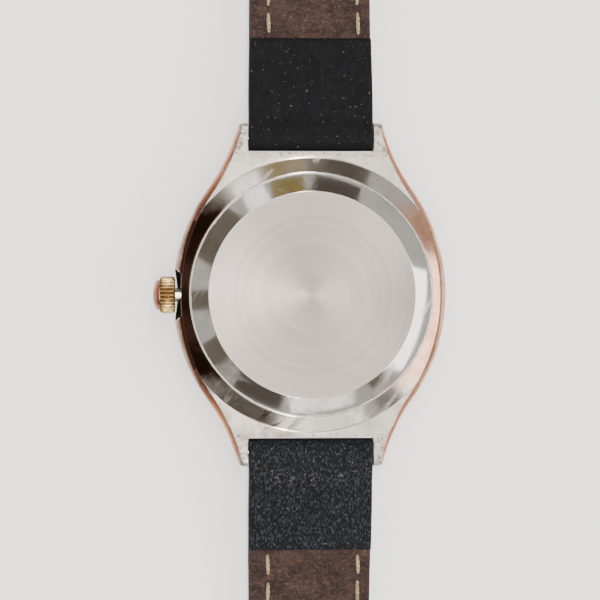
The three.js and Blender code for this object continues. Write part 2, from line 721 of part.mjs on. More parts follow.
// Keyless works on the dial side, beside the stem
const leverAt = new THREE.Vector2(-10.1, -2.7);
const yokeAt = new THREE.Vector2(-8.2, -4);
function leverShape(points) {
  const shape = new THREE.Shape(points.map(([x, y]) => new THREE.Vector2(x, y)));
  shape.holes.push(roundHole(centreAt, 0.3));
  return shape;
}
add(movement, 'setting_lever', placedSolid(slab(
  leverShape([[-0.7, -0.7], [0.7, -0.7], [0.7, 0.5], [0.3, 2.1], [-0.3, 2.1], [-0.7, 0.5]]), 0.45, 0.8,
), leverAt), 'steel');
add(movement, 'yoke', placedSolid(slab(
  leverShape([[-0.7, -0.6], [0.7, -0.6], [0.9, 0.6], [2.3, 2.6], [1.9, 3], [0, 0.9], [-0.7, 0.6]]), 0.45, 0.8,
), yokeAt), 'steel');

// Main plate: pockets for the barrel and the centre pinion, a slot for the stem and its pinions
function mainPlate() {
  const outline = new THREE.Shape().absarc(0, 0, calibreRadius, 0, 2 * Math.PI, false);
  const plate = slab(outline, plateBottom, plateTop, 24);
  const slotEnd = settingAt.x - 0.5;
  const pivots = [thirdAt, fourthAt, escapeAt, palletAt, balanceAt, minuteAt, settingAt].map((at) => (
    solid(rod(0.3, plateBottom - 1, plateTop + 1, at.x, at.y, 8))
  ));
  return cut(
    solid(plate),
    solid(rod(modules.barrel * (teeth.barrel / 2 + 0.6) + 0.25, barrelFloor - 0.1, plateTop + 1,
      barrelAt.x, barrelAt.y, 40)),
    solid(rod(arborRadius + 0.1, plateBottom - 1, plateTop, barrelAt.x, barrelAt.y, 12)),
    solid(rod(modules.barrel * (teeth.centrePinion / 2 + 0.6) + 0.2, plateBottom + 0.5, plateTop + 1, 0, 0, 16)),
    solid(rod(cannonRadius, plateBottom - 1, plateTop, 0, 0, 10)),
    solid(block(calibreRadius + slotEnd + 1, 3.2 / fit, 4, -(calibreRadius - slotEnd + 1) / 2, 0, plateTop)),
    ...pivots,
  );
}
add(movement, 'main_plate', mainPlate(), 'nickel');

function post(at, radius, top) {
  return solid(rod(radius, plateTop + 0.05, top, at.x, at.y, 14));
}

// Half-moon over the barrel, held on two posts
function barrelBridge() {
  const edge = calibreRadius - 0.5;
  const shape = new THREE.Shape();
  shape.absarc(0, 0, edge, degrees(58), degrees(165), false);
  shape.lineTo(-9.3, 1.7);
  shape.lineTo(-7.3, 1.5);
  shape.lineTo(-7.3, -0.9);
  shape.lineTo(-5, -0.9);
  shape.absarc(0, 0, 4.2, degrees(176), degrees(58), true);
  shape.closePath();
  shape.holes.push(roundHole(barrelAt, arborRadius + 0.1), roundHole(crownWheelAt, 0.5));
  return joined(
    solid(slab(shape, ...barrelBridgeLevel)),
    post(polar(10.6, degrees(64)), 0.8, barrelBridgeLevel[1]),
    post(polar(11.2, degrees(152)), 0.7, barrelBridgeLevel[1]),
    solid(rod(0.2, barrelBridgeLevel[0], windingLevel[1] + 0.15, clickAt.x, clickAt.y, 8)),
  );
}
add(movement, 'barrel_bridge', barrelBridge(), 'nickel');

function trainBridge() {
  const edge = calibreRadius - 0.3;
  const shape = new THREE.Shape();
  shape.absarc(0, 0, edge, degrees(196), degrees(276), false);
  shape.lineTo(escapeAt.x + 1, escapeAt.y - 1.6);
  shape.lineTo(escapeAt.x + 1, escapeAt.y + 0.9);
  shape.lineTo(1.2, 0.4);
  shape.lineTo(0.3, 1.1);
  shape.lineTo(-1.2, 0.9);
  shape.closePath();
  for (const at of [centreAt, thirdAt, fourthAt, escapeAt]) shape.holes.push(roundHole(at, 0.3));
  return joined(
    solid(slab(shape, ...trainBridgeLevel)),
    post(new THREE.Vector2(-6.5, -8), 1.2, trainBridgeLevel[1]),
    post(new THREE.Vector2(-10, -4), 1, trainBridgeLevel[1]),
    post(new THREE.Vector2(0.6, -11.3), 0.7, trainBridgeLevel[1]),
  );
}
add(movement, 'train_bridge', trainBridge(), 'nickel');

// A bar from a foot on the plate to a pivot
function cock(footAt, pivotAt, footRadius, pivotRadius, level) {
  const shape = new THREE.Shape();
  const heading = directionTo(footAt, pivotAt);
  shape.absarc(footAt.x, footAt.y, footRadius, heading + 1.6, heading - 1.6, false);
  shape.absarc(pivotAt.x, pivotAt.y, pivotRadius, heading - 1.6, heading + 1.6, false);
  shape.closePath();
  shape.holes.push(roundHole(pivotAt, 0.3));
  return joined(solid(slab(shape, ...level)), post(footAt, footRadius - 0.05, level[1]));
}
add(movement, 'balance_cock', cock(new THREE.Vector2(9.6, 4.2), balanceAt, 1.5, 1.2, cockLevel), 'nickel');
add(movement, 'pallet_cock', cock(new THREE.Vector2(6.9, -8.1), palletAt, 0.8, 0.6, palletCockLevel), 'nickel');

// Dial and hands
const clampAngles = { clamp_a: degrees(46), clamp_b: degrees(304) };
const dialShape = new THREE.Shape().absarc(0, 0, dialRadius, 0, 2 * Math.PI, false);
dialShape.holes.push(
  roundHole(centreAt, (hourTube + 0.15) * fit),
  roundHole(fourthAt.clone().multiplyScalar(fit), 0.4),
);
add(caseGroup, 'dial', slab(dialShape, dialFront, dialBack, 20), 'dialPaint');

// A tapering hand with a round hub; angle is measured from twelve o'clock, clockwise on the dial
function hand(length, width, tail, hub, bore, level, angle, at) {
  const shape = new THREE.Shape();
  shape.absarc(0, 0, hub, degrees(90) + width / hub, degrees(90) - width / hub + 2 * Math.PI, false);
  shape.lineTo(width * 0.5, length);
  shape.lineTo(-width * 0.5, length);
  shape.closePath();
  const tailShape = new THREE.Shape([[-width, 0], [-width, -tail], [width, -tail], [width, 0]]
    .map(([x, y]) => new THREE.Vector2(x, y)));
  const blade = joined(solid(slab(shape, ...level)), solid(slab(tailShape, ...level)));
  const bored = geometryOf(cut(blade, solid(rod(bore, level[0] - 1, level[1] + 1, 0, 0, 12))));
  bored.rotateZ(angle);
  return placedSolid(bored, at);
}
const handReach = flangeRadius / fit;
add(movement, 'hour_hand', hand(
  handReach * 0.56, 0.45, 1.6, 1.1, hourTube + 0.08, [-1.2, -1.05], degrees(52), centreAt,
), 'yellowGold');
add(movement, 'minute_hand', hand(
  handReach * 0.84, 0.35, 1.8, 0.8, cannonRadius + 0.08, [-1.65, -1.5], degrees(-58), centreAt,
), 'yellowGold');
add(movement, 'second_hand', hand(
  2.6, 0.1, 0.8, 0.35, 0.22, [-1.5, -1.38], degrees(160), fourthAt,
), 'blued');

// Movement holder, with two screwed clamps over the plate's edge
const holderInside = movementRadius + sideGap;
const holderTop = movementBase + plateTop - 0.05;
const screwRadius = (holderInside + boreRadius - sideGap) / 2;

function holderRing() {
  const ring = turned([
    [holderInside, movementBase], [boreRadius - sideGap, movementBase],
    [boreRadius - sideGap, holderTop], [holderInside, holderTop],
  ]);
  const stemWay = alongStem(rod(stemDiameter / 2 + 0.4, holderInside - 2, boreRadius + 1, 0, 0, 12));
  const screwHoles = Object.values(clampAngles).map((angle) => solid(rod(
    0.55, movementBase + 0.9, holderTop + 1, ...polar(screwRadius, angle).toArray(), 10,
  )));
  return cut(solid(ring), solid(stemWay), ...screwHoles);
}
add(caseGroup, 'movement_ring', holderRing(), 'brass');

for (const [name, angle] of Object.entries(clampAngles)) {
  const level = movementBase + plateTop + 0.05;
  const inner = holderInside - 0.9;
  const plate = new THREE.Shape([[inner, -1], [screwRadius + 0.9, -1], [screwRadius + 0.9, 1], [inner, 1]]
    .map(([x, y]) => new THREE.Vector2(x, y)));
  plate.holes.push(roundHole(new THREE.Vector2(screwRadius, 0), 0.55));
  const clamp = slab(plate, level, level + 0.25);
  clamp.rotateZ(angle);
  add(caseGroup, name, clamp, 'steel');
  const at = polar(screwRadius, angle);
  add(caseGroup, `${name}_screw`, joined(
    solid(rod(0.4, movementBase + 1.1, level + 0.5, at.x, at.y, 8)),
    solid(rod(0.8, level + 0.3, level + 0.6, at.x, at.y, 12)),
  ), 'steel');
}

// ---- strap -----------------------------------------------------------------------------------

// Each half lies along its own +Y from the spring bar: leather on the outside, lining to the wrist
const half = strapThickness / 2;
const layerGap = 0.1;
const leatherTop = half - liningThickness - layerGap;
const flexGap = 0.15;
const longLength = rootLength + longMidLength + longTipLength;
const shortLength = rootLength + shortTipLength;
const keeperRoom = strapThickness + 0.4;
const keeperDrop = half + keeperRoom + keeperWall;
const layClearance = 0.03;

function halfWidthAt(distance, total) {
  const share = Math.max(distance, 0) / total;
  return strapWidth / 2 + (strapTipWidth - strapWidth) / 2 * share;
}

// A side profile stretched across the strap, narrowing towards the end of the half
function tapered(profile, start, total) {
  const geometry = acrossX(new THREE.Shape(profile.map(([y, z]) => new THREE.Vector2(y, z))), 1);
  const position = geometry.attributes.position;
  for (let i = 0; i < position.count; i += 1) {
    position.setX(i, position.getX(i) * halfWidthAt(position.getY(i) + start, total));
  }
  return solid(geometry);
}

// How far a segment's end face stands back from the flex line at a given height
function standBack(z) {
  const angle = (z > 0 ? flexUp : flexDown) / 2 + 1;
  return flexGap + Math.abs(z) * Math.tan(degrees(angle));
}

function layerProfile(length, low, high, flexStart, flexEnd) {
  const heights = low < 0 && high > 0 ? [low, 0, high] : [low, high];
  const back = heights.map((z) => [flexStart ? standBack(z) : 0, z]);
  const front = heights.map((z) => [flexEnd ? length - standBack(z) : length, z]);
  return [...back.reverse(), ...front];
}

function strapHalf(side, rootSlope) {
  const base = new THREE.Group();
  base.position.set(0, side * barDistance, barHeight);
  base.rotation.z = side > 0 ? 0 : Math.PI;
  watch.add(base);
  const slope = new THREE.Group();
  slope.rotation.x = rootSlope;
  base.add(slope);
  return slope;
}

function nextSegment(parent, length, turn) {
  const joint = new THREE.Group();
  joint.position.y = length;
  joint.rotation.x = turn;
  parent.add(joint);
  return joint;
}

// The doubled end that wraps the spring bar
function strapRoot(total) {
  const top = half + 0.3;
  const body = tapered([
    [0, -rootThickness / 2], [0, rootThickness / 2], [rootLength - standBack(top), top],
    [rootLength - flexGap, 0], [rootLength - standBack(-half), -half],
  ], 0, total);
  const loop = solid(rodAcrossX(loopRadius, strapWidth / 2, 0, 0, 24));
  const tunnel = solid(rodAcrossX(barDiameter / 2 + turnGap, strapWidth, 0, 0, 16));
  return cut(joined(loop, body), tunnel);
}

// Half lying along -Y, with the buckle holes
const longRootSlope = degrees(-9);
const longRootEnd = barHeight + rootLength * Math.sin(longRootSlope);
const longMidSlope = -Math.asin((longRootEnd - half - layClearance) / longMidLength);
const longRoot = strapHalf(-1, longRootSlope);
const longMid = nextSegment(longRoot, rootLength, longMidSlope - longRootSlope);
const longTip = nextSegment(longMid, longMidLength, -longMidSlope);
const tipStart = rootLength + longMidLength;

function tipOutline() {
  const wide = halfWidthAt(tipStart, longLength) + 1;
  const end = halfWidthAt(longLength, longLength);
  const shape = new THREE.Shape();
  shape.moveTo(-wide, -1);
  shape.lineTo(wide, -1);
  shape.lineTo(wide, longTipLength - 14);
  shape.lineTo(end, longTipLength - 9);
  shape.quadraticCurveTo(end * 0.75, longTipLength - 2, 0, longTipLength);
  shape.quadraticCurveTo(-end * 0.75, longTipLength - 2, -end, longTipLength - 9);
  shape.lineTo(-wide, longTipLength - 14);
  shape.closePath();
  return solid(slab(shape, -strapThickness, strapThickness));
}

function tipLayer(low, high) {
  const holes = Array.from({ length: holeCount }, (_, i) => solid(rod(
    holeDiameter / 2, -strapThickness, strapThickness, 0, longTipLength - 12 - i * holePitch, 10,
  )));
  const layer = tapered(layerProfile(longTipLength, low, high, true, false), tipStart, longLength);
  return cut(layer.intersect(tipOutline()), ...holes);
}

add(longRoot, 'strap_6_root', strapRoot(longLength), 'blackLeather');
add(longMid, 'strap_6_mid_leather', tapered(
  layerProfile(longMidLength, -half, leatherTop, true, true), rootLength, longLength,
), 'blackLeather');
add(longMid, 'strap_6_mid_lining', tapered(
  layerProfile(longMidLength, leatherTop + layerGap, half, true, true), rootLength, longLength,
), 'lining');
add(longTip, 'strap_6_tip_leather', tipLayer(-half, leatherTop), 'blackLeather');
add(longTip, 'strap_6_tip_lining', tipLayer(leatherTop + layerGap, half), 'lining');

// Half lying along +Y, with the keepers and the buckle
const shortRootSlope = degrees(-6);
const shortRootEnd = barHeight + rootLength * Math.sin(shortRootSlope);
const fixedKeeperAt = shortTipLength - 8;
const freeKeeperAt = fixedKeeperAt - 14;
const shortTipSlope = Math.asin((keeperDrop + 2 * layClearance - shortRootEnd) / fixedKeeperAt);
const shortRoot = strapHalf(1, shortRootSlope);
const shortTip = nextSegment(shortRoot, rootLength, shortTipSlope - shortRootSlope);
const buckleLoop = buckleBarDiameter / 2 + 0.25 + 0.7;
const tongueRoom = tongueWidth + 0.8;

add(shortRoot, 'strap_12_root', strapRoot(shortLength), 'blackLeather');

function shortTipLeather() {
  const body = tapered(
    layerProfile(shortTipLength, -half, leatherTop, true, false), rootLength, shortLength,
  );
  const loop = solid(rodAcrossX(buckleLoop, strapTipWidth / 2, shortTipLength, 0, 16));
  const tunnel = solid(rodAcrossX(buckleBarDiameter / 2 + 0.25, strapWidth, shortTipLength, 0, 12));
  const notch = solid(block(tongueRoom, 6, 6, 0, shortTipLength + 0.4, 0));
  return cut(joined(body, loop), tunnel, notch);
}
add(shortTip, 'strap_12_tip_leather', shortTipLeather(), 'blackLeather');
add(shortTip, 'strap_12_tip_lining', tapered(
  layerProfile(shortTipLength - 4, leatherTop + layerGap, half, true, false), rootLength, shortLength,
), 'lining');

function keeper(distance) {
  const wide = halfWidthAt(rootLength + distance - keeperWidth / 2, shortLength) + sideGap;
  const top = half + turnGap;
  const bottom = -half - keeperRoom;
  const middle = (top + bottom) / 2;
  const outer = block(
    2 * (wide + keeperWall), keeperWidth, top - bottom + 2 * keeperWall, 0, distance, middle,
  );
  const room = block(2 * wide, keeperWidth + 2, top - bottom, 0, distance, middle);
  return cut(solid(outer), solid(room));
}
add(shortTip, 'keeper_fixed', keeper(fixedKeeperAt), 'blackLeather');
add(shortTip, 'keeper_free', keeper(freeKeeperAt), 'blackLeather');

// Buckle: a three-sided frame on a bar, and a tongue that closes on the frame's outer side
const frameBack = 1.2;
const frameFront = frameDepth - frameBack;
const frontBar = 2;
const frameInside = strapTipWidth / 2 + turnGap;
const tongueReach = frameFront + 0.4;
const tongueTop = -frameThickness / 2 - wheelGap;
const tongueLow = tongueTop - tongueThickness;
const buckleHeight = shortRootEnd + shortTipLength * Math.sin(shortTipSlope);
const tongueSpan = Math.hypot(tongueReach, tongueLow);
const frameSlope = Math.atan2(-tongueLow, tongueReach)
  + Math.asin((layClearance - buckleHeight) / tongueSpan);
const buckle = nextSegment(shortTip, shortTipLength, frameSlope - shortTipSlope);

function buckleFrame() {
  const outside = frameInside + frameArm;
  const shape = new THREE.Shape();
  shape.moveTo(-frameInside, -frameBack);
  shape.lineTo(-frameInside, frameFront - frontBar);
  shape.lineTo(frameInside, frameFront - frontBar);
  shape.lineTo(frameInside, -frameBack);
  shape.lineTo(outside - 0.3, -frameBack);
  shape.lineTo(outside, frameFront * 0.5);
  shape.quadraticCurveTo(outside, frameFront - 0.3, frameInside - 0.6, frameFront - 0.2);
  shape.quadraticCurveTo(0, frameFront + 0.2, -frameInside + 0.6, frameFront - 0.2);
  shape.quadraticCurveTo(-outside, frameFront - 0.3, -outside, frameFront * 0.5);
  shape.lineTo(-outside + 0.3, -frameBack);
  shape.closePath();
  const body = solid(slab(shape, -frameThickness / 2, frameThickness / 2));
  const seats = solid(rodAcrossX(buckleBarDiameter / 2 + seatGap, frameInside + 0.9, 0, 0, 12));
  return cut(body, seats);
}
add(buckle, 'buckle_frame', buckleFrame(), 'steel');
add(buckle, 'buckle_bar', rodAcrossX(buckleBarDiameter / 2, frameInside + 0.8, 0, 0, 12), 'steel');

function buckleTongue() {
  const prong = acrossX(new THREE.Shape([[0.3, -0.5], [frameFront - frontBar - 0.4, tongueTop],
    [tongueReach, tongueTop], [tongueReach, tongueLow + 0.2], [tongueReach - 0.4, tongueLow],
    [frameFront - frontBar - 0.4, tongueLow], [0, -1.2]]
    .map(([y, z]) => new THREE.Vector2(y, z))), tongueWidth / 2);
  const ring = solid(rodAcrossX(buckleBarDiameter / 2 + 0.65, tongueWidth / 2, 0, 0, 16));
  const eye = solid(rodAcrossX(buckleBarDiameter / 2 + seatGap, tongueWidth, 0, 0, 12));
  return cut(joined(ring, solid(prong)), eye);
}
add(buckle, 'buckle_tongue', buckleTongue(), 'steel');

export default watch;
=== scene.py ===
import json
import math
import random

import bmesh
import bpy
from mathutils import Matrix, Vector, noise


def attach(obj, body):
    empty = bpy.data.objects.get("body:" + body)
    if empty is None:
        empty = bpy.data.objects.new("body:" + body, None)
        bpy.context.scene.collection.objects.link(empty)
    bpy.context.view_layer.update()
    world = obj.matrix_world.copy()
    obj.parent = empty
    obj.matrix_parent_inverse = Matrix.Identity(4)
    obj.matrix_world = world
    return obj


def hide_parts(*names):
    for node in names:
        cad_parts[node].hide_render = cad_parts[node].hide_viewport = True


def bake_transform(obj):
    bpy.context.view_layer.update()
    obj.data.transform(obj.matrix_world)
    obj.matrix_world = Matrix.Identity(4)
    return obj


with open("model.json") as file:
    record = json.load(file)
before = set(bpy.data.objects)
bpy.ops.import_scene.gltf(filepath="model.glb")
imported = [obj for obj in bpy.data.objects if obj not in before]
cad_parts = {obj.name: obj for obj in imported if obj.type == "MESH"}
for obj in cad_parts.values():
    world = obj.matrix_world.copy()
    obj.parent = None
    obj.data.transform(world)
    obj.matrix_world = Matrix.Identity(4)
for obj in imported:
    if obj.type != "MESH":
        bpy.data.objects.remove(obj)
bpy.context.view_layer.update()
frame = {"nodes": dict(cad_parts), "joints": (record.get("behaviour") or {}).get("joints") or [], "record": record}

mm = 0.001  # every size below is in millimetres; meshes and shader lengths are scaled by it
crownHeight = 5.5
nodes = frame["nodes"]
joints = {j["name"]: j for j in frame["joints"]}
print("wristwatch: frame loaded,", len(nodes), "nodes")


def jointPoint(name):
    return Vector(joints[name]["pos_m"]) / mm


def mix(a, b, t):
    return a + (b - a) * t


def smooth01(t):
    t = max(0.0, min(1.0, t))
    return t * t * (3 - 2 * t)


def bezier(a, b, c, t):
    return tuple(p * (1 - t) ** 2 + q * 2 * t * (1 - t) + r * t * t for p, q, r in zip(a, b, c))


def meshPiece(name, verts, faces, materials=(), smooth=True, weld=0.0):
    mesh = bpy.data.meshes.new(name)
    mesh.from_pydata([tuple(Vector(v) * mm) for v in verts], [], faces)
    for material in materials:
        mesh.materials.append(material)
    work = bmesh.new()
    work.from_mesh(mesh)
    if weld:
        bmesh.ops.remove_doubles(work, verts=work.verts, dist=weld * mm)
    bmesh.ops.recalc_face_normals(work, faces=work.faces)
    work.to_mesh(mesh)
    work.free()
    mesh.polygons.foreach_set("use_smooth", [smooth] * len(mesh.polygons))
    piece = bpy.data.objects.new(name, mesh)
    bpy.context.scene.collection.objects.link(piece)
    return piece


def applyModifiers(piece):
    graph = bpy.context.evaluated_depsgraph_get()
    done = bpy.data.meshes.new_from_object(piece.evaluated_get(graph), depsgraph=graph)
    old = piece.data
    piece.modifiers.clear()
    piece.data = done
    bpy.data.meshes.remove(old)


def dropPiece(piece):
    mesh = piece.data
    bpy.data.objects.remove(piece)
    bpy.data.meshes.remove(mesh)


def cutWith(piece, tool):
    cut = piece.modifiers.new("cut", "BOOLEAN")
    cut.operation = "DIFFERENCE"
    cut.solver = "EXACT"
    cut.object = tool
    applyModifiers(piece)
    dropPiece(tool)


def sharpCorners(piece, angle=32):
    piece.data.set_sharp_from_angle(angle=math.radians(angle))


def joinPieces(name, pieces):
    verts, faces, marks, materials = [], [], [], []
    for piece in pieces:
        start = len(verts)
        verts += [v.co.copy() for v in piece.data.vertices]
        for face in piece.data.polygons:
            faces.append([start + v for v in face.vertices])
            material = piece.data.materials[face.material_index]
            if material not in materials:
                materials.append(material)
            marks.append(materials.index(material))
    mesh = bpy.data.meshes.new(name)
    mesh.from_pydata(verts, [], faces)
    for material in materials:
        mesh.materials.append(material)
    mesh.polygons.foreach_set("material_index", marks)
    mesh.polygons.foreach_set("use_smooth", [True] * len(faces))
    whole = bpy.data.objects.new(name, mesh)
    bpy.context.scene.collection.objects.link(whole)
    for piece in pieces:
        dropPiece(piece)
    return whole


def paintFaces(piece, materials, choose):
    # choose(centre in millimetres, normal) gives the number of the material for a face
    piece.data.materials.clear()
    for material in materials:
        piece.data.materials.append(material)
    for face in piece.data.polygons:
        face.material_index = choose(face.center / mm, face.normal)


def gridFaces(rows, closeRows=True, closeColumns=True):
    count, width = len(rows), len(rows[0])
    verts = [p for row in rows for p in row]
    faces = []
    for i in range(count if closeRows else count - 1):
        for j in range(width if closeColumns else width - 1):
            a, b = i * width, (i + 1) % count * width
            c, d = j, (j + 1) % width
            faces.append((a + c, a + d, b + d, b + c))
    return verts, faces


def cappedGrid(rows):
    # rings one after another, each closed, with a flat cap at both ends
    verts, faces = gridFaces(rows, False, True)
    width = len(rows[0])
    faces.append(tuple(range(width)))
    faces.append(tuple(len(verts) - width + k for k in reversed(range(width))))
    return verts, faces


def rounded(points, radius, steps=3, closed=False):
    # rounds the corners of an outline of (r, z) points
    points = [Vector(p) for p in points]
    count = len(points)
    out = [] if closed else [points[0]]
    for i in range(0 if closed else 1, count if closed else count - 1):
        here = points[i]
        toBefore, toAfter = points[i - 1] - here, points[(i + 1) % count] - here
        reach = min(radius, toBefore.length * 0.45, toAfter.length * 0.45)
        start = here + toBefore.normalized() * reach
        end = here + toAfter.normalized() * reach
        for k in range(steps + 1):
            out.append(Vector(bezier(start, here, end, k / steps)))
    if not closed:
        out.append(points[-1])
    return out


def turnedPiece(name, outline, material, steps=160, closed=True, place=None):
    # an outline of (r, z) points turned about Z; place moves each point where it belongs
    rows = []
    for i in range(steps):
        turn = 2 * math.pi * i / steps
        row = [Vector((r * math.cos(turn), r * math.sin(turn), z)) for r, z in outline]
        rows.append([place(p) for p in row] if place else row)
    verts, faces = gridFaces(rows, True, closed)
    return meshPiece(name, verts, faces, [material], weld=1e-4)


def blockTool(low, high):
    verts = [(x, y, z) for x in (low[0], high[0]) for y in (low[1], high[1]) for z in (low[2], high[2])]
    faces = [(0, 1, 3, 2), (4, 6, 7, 5), (0, 4, 5, 1), (2, 3, 7, 6), (0, 2, 6, 4), (1, 5, 7, 3)]
    return meshPiece("cutter", verts, faces, smooth=False)


def rodPiece(name, profile, start, direction, materials=(), steps=40):
    # profile is (radius, distance along the direction), from one end to the other
    start, axis = Vector(start), Vector(direction).normalized()
    side = axis.orthogonal().normalized()
    other = axis.cross(side)
    rows = []
    for radius, along in profile:
        middle = start + axis * along
        rows.append([
            middle + (side * math.cos(turn) + other * math.sin(turn)) * radius
            for turn in [2 * math.pi * k / steps for k in range(steps)]
        ])
    verts, faces = cappedGrid(rows)
    return meshPiece(name, verts, faces, materials)


def feed(tree, made, inputs):
    for key, value in inputs.items():
        if isinstance(value, bpy.types.NodeSocket):
            tree.links.new(value, made.inputs[key])
        else:
            made.inputs[key].default_value = value
    return made


def addNode(tree, kind, inputs=None, **settings):
    made = tree.nodes.new("ShaderNode" + kind)
    for key, value in settings.items():
        setattr(made, key, value)
    return feed(tree, made, inputs or {})


def newGroup(name, takes, gives):
    tree = bpy.data.node_groups.new(name, "ShaderNodeTree")
    for label, kind, value in takes:
        socket = tree.interface.new_socket(label, in_out="INPUT", socket_type="NodeSocket" + kind)
        if value is not None:
            socket.default_value = value
    for label, kind in gives:
        tree.interface.new_socket(label, in_out="OUTPUT", socket_type="NodeSocket" + kind)
    return tree, tree.nodes.new("NodeGroupInput").outputs, tree.nodes.new("NodeGroupOutput").inputs


def ramp(tree, value, low, high):
    return addNode(tree, "MapRange", {"Value": value, "From Min": low, "From Max": high}).outputs["Result"]


def rampMm(tree, length, low, high):
    return ramp(tree, length, low * mm, high * mm)


def spread(tree, share, low, high):
    return addNode(tree, "MapRange", {"Value": share, "To Min": low, "To Max": high}).outputs["Result"]


def math2(tree, operation, a, b):
    return addNode(tree, "Math", {0: a, 1: b}, operation=operation).outputs[0]


def times(tree, a, b):
    return math2(tree, "MULTIPLY", a, b)


def radiusFrom(tree, place, keep, shift=None):
    # distance from a line; keep is 0 along it and 1 across it
    if shift:
        place = addNode(tree, "VectorMath", {0: place, 1: shift}, operation="ADD").outputs[0]
    flat = addNode(tree, "VectorMath", {0: place, 1: keep}, operation="MULTIPLY").outputs[0]
    return addNode(tree, "VectorMath", {0: flat}, operation="LENGTH").outputs["Value"]


def blendColours(tree, factor, a, b, mode="MIX"):
    made = tree.nodes.new("ShaderNodeMix")
    made.data_type = "RGBA"
    made.blend_type = mode
    return feed(tree, made, {0: factor, 6: a, 7: b}).outputs[2]


def noiseOf(tree, vector, scale, detail=4.0, rough=0.6, stretch=None):
    if stretch:
        vector = addNode(tree, "Mapping", {"Vector": vector, "Scale": stretch}).outputs[0]
    made = addNode(tree, "TexNoise",
                   {"Vector": vector, "Scale": scale, "Detail": detail, "Roughness": rough})
    return made.outputs["Fac"]


def makeTarnish():
    # broad soft patches of a second tone, for plating, paint and leather
    tree, take, give = newGroup("tarnish", [
        ("Place", "Vector", None), ("Base", "Color", (0.5, 0.5, 0.5, 1)),
        ("Stain", "Color", (0.2, 0.2, 0.2, 1)),
        ("Patch Scale", "Float", 300.0), ("Amount", "Float", 0.5), ("Sharpness", "Float", 0.2),
    ], [("Color", "Color"), ("Mask", "Float")])
    broad = noiseOf(tree, take["Place"], take["Patch Scale"], 6.0, 0.62)
    middle = math2(tree, "SUBTRACT", 1.0, take["Amount"])
    low = math2(tree, "SUBTRACT", middle, take["Sharpness"])
    high = math2(tree, "ADD", middle, take["Sharpness"])
    mask = ramp(tree, broad, low, high)
    tree.links.new(blendColours(tree, mask, take["Base"], take["Stain"]), give["Color"])
    tree.links.new(mask, give["Mask"])
    return tree


def makeScratches():
    # thin hairlines in two directions, and small pits
    tree, take, give = newGroup("scratches", [
        ("Place", "Vector", None), ("Line Scale", "Float", 600.0), ("Pit Scale", "Float", 2500.0),
    ], [("Lines", "Float"), ("Pits", "Float")])
    found = None
    for turn, stretch in ((0.5, (1.0, 0.045, 1.0)), (-0.9, (0.06, 1.0, 1.0)), (2.0, (1.0, 0.03, 1.0))):
        turned = addNode(tree, "Mapping", {"Vector": take["Place"], "Rotation": (0, 0, turn)}).outputs[0]
        lines = noiseOf(tree, turned, take["Line Scale"], 2.0, 0.5, stretch)
        thin = ramp(tree, lines, 0.66, 0.72)
        found = thin if found is None else math2(tree, "MAXIMUM", found, thin)
    tree.links.new(found, give["Lines"])
    pits = noiseOf(tree, take["Place"], take["Pit Scale"], 3.0, 0.7)
    tree.links.new(ramp(tree, pits, 0.58, 0.72), give["Pits"])
    return tree


def makeHide():
    # leather grain: small cells, creases that run one way, and dust
    tree, take, give = newGroup("hide", [
        ("Place", "Vector", None), ("Cell Scale", "Float", 1800.0), ("Crease Scale", "Float", 260.0),
        ("Crease Stretch", "Vector", (1.0, 0.15, 1.0)),
    ], [("Height", "Float"), ("Creases", "Float"), ("Dust", "Float")])
    warp = noiseOf(tree, take["Place"], 900.0, 3.0)
    cells = addNode(tree, "TexVoronoi", {"Vector": take["Place"], "Scale": take["Cell Scale"]},
                    feature="DISTANCE_TO_EDGE")
    cellTop = ramp(tree, cells.outputs["Distance"], 0.0, 0.22)
    stretched = addNode(tree, "VectorMath", {0: take["Place"], 1: take["Crease Stretch"]},
                        operation="MULTIPLY")
    lines = noiseOf(tree, stretched.outputs[0], take["Crease Scale"], 6.0, 0.65)
    ridge = math2(tree, "ABSOLUTE", math2(tree, "SUBTRACT", lines, 0.5), 0.0)
    creases = ramp(tree, ridge, 0.035, 0.0)
    height = math2(tree, "ADD", times(tree, cellTop, 0.5), times(tree, warp, 0.6))
    tree.links.new(math2(tree, "SUBTRACT", height, times(tree, creases, 0.7)), give["Height"])
    tree.links.new(creases, give["Creases"])
    specks = noiseOf(tree, take["Place"], 2600.0, 2.0, 0.5)
    tree.links.new(ramp(tree, specks, 0.70, 0.76), give["Dust"])
    return tree


def makeTurning():
    # fine rings left by a lathe, about a line parallel to Z
    tree, take, give = newGroup("turning", [
        ("Place", "Vector", None), ("Ring Scale", "Float", 5200.0), ("Broad Scale", "Float", 900.0),
    ], [("Height", "Float"), ("Bands", "Float")])
    radius = radiusFrom(tree, take["Place"], (1, 1, 0))
    wobble = times(tree, noiseOf(tree, take["Place"], 120.0, 2.0), 0.00012)
    radius = math2(tree, "ADD", radius, wobble)
    fine = addNode(tree, "TexNoise", {"W": radius, "Scale": take["Ring Scale"], "Detail": 3.0},
                   noise_dimensions="1D")
    broad = addNode(tree, "TexNoise", {"W": radius, "Scale": take["Broad Scale"], "Detail": 2.0},
                    noise_dimensions="1D")
    tree.links.new(fine.outputs["Fac"], give["Height"])
    tree.links.new(broad.outputs["Fac"], give["Bands"])
    return tree


tarnish = makeTarnish()
scratches = makeScratches()
hide = makeHide()
turning = makeTurning()


def newMaterial(name):
    made = bpy.data.materials.new(name)
    made.use_nodes = True
    tree = made.node_tree
    shader = tree.nodes["Principled BSDF"]
    place = addNode(tree, "TexCoord").outputs["Object"]
    return made, tree, shader, place


def useGroup(tree, group, inputs):
    made = tree.nodes.new("ShaderNodeGroup")
    made.node_tree = group
    return feed(tree, made, inputs).outputs


def colour(r, g, b):
    # 0-255 screen values to the linear values that sockets take
    return tuple(((c / 255 + 0.055) / 1.055) ** 2.4 if c > 10 else c / 255 / 12.92 for c in (r, g,
            b)) + (1.0,)


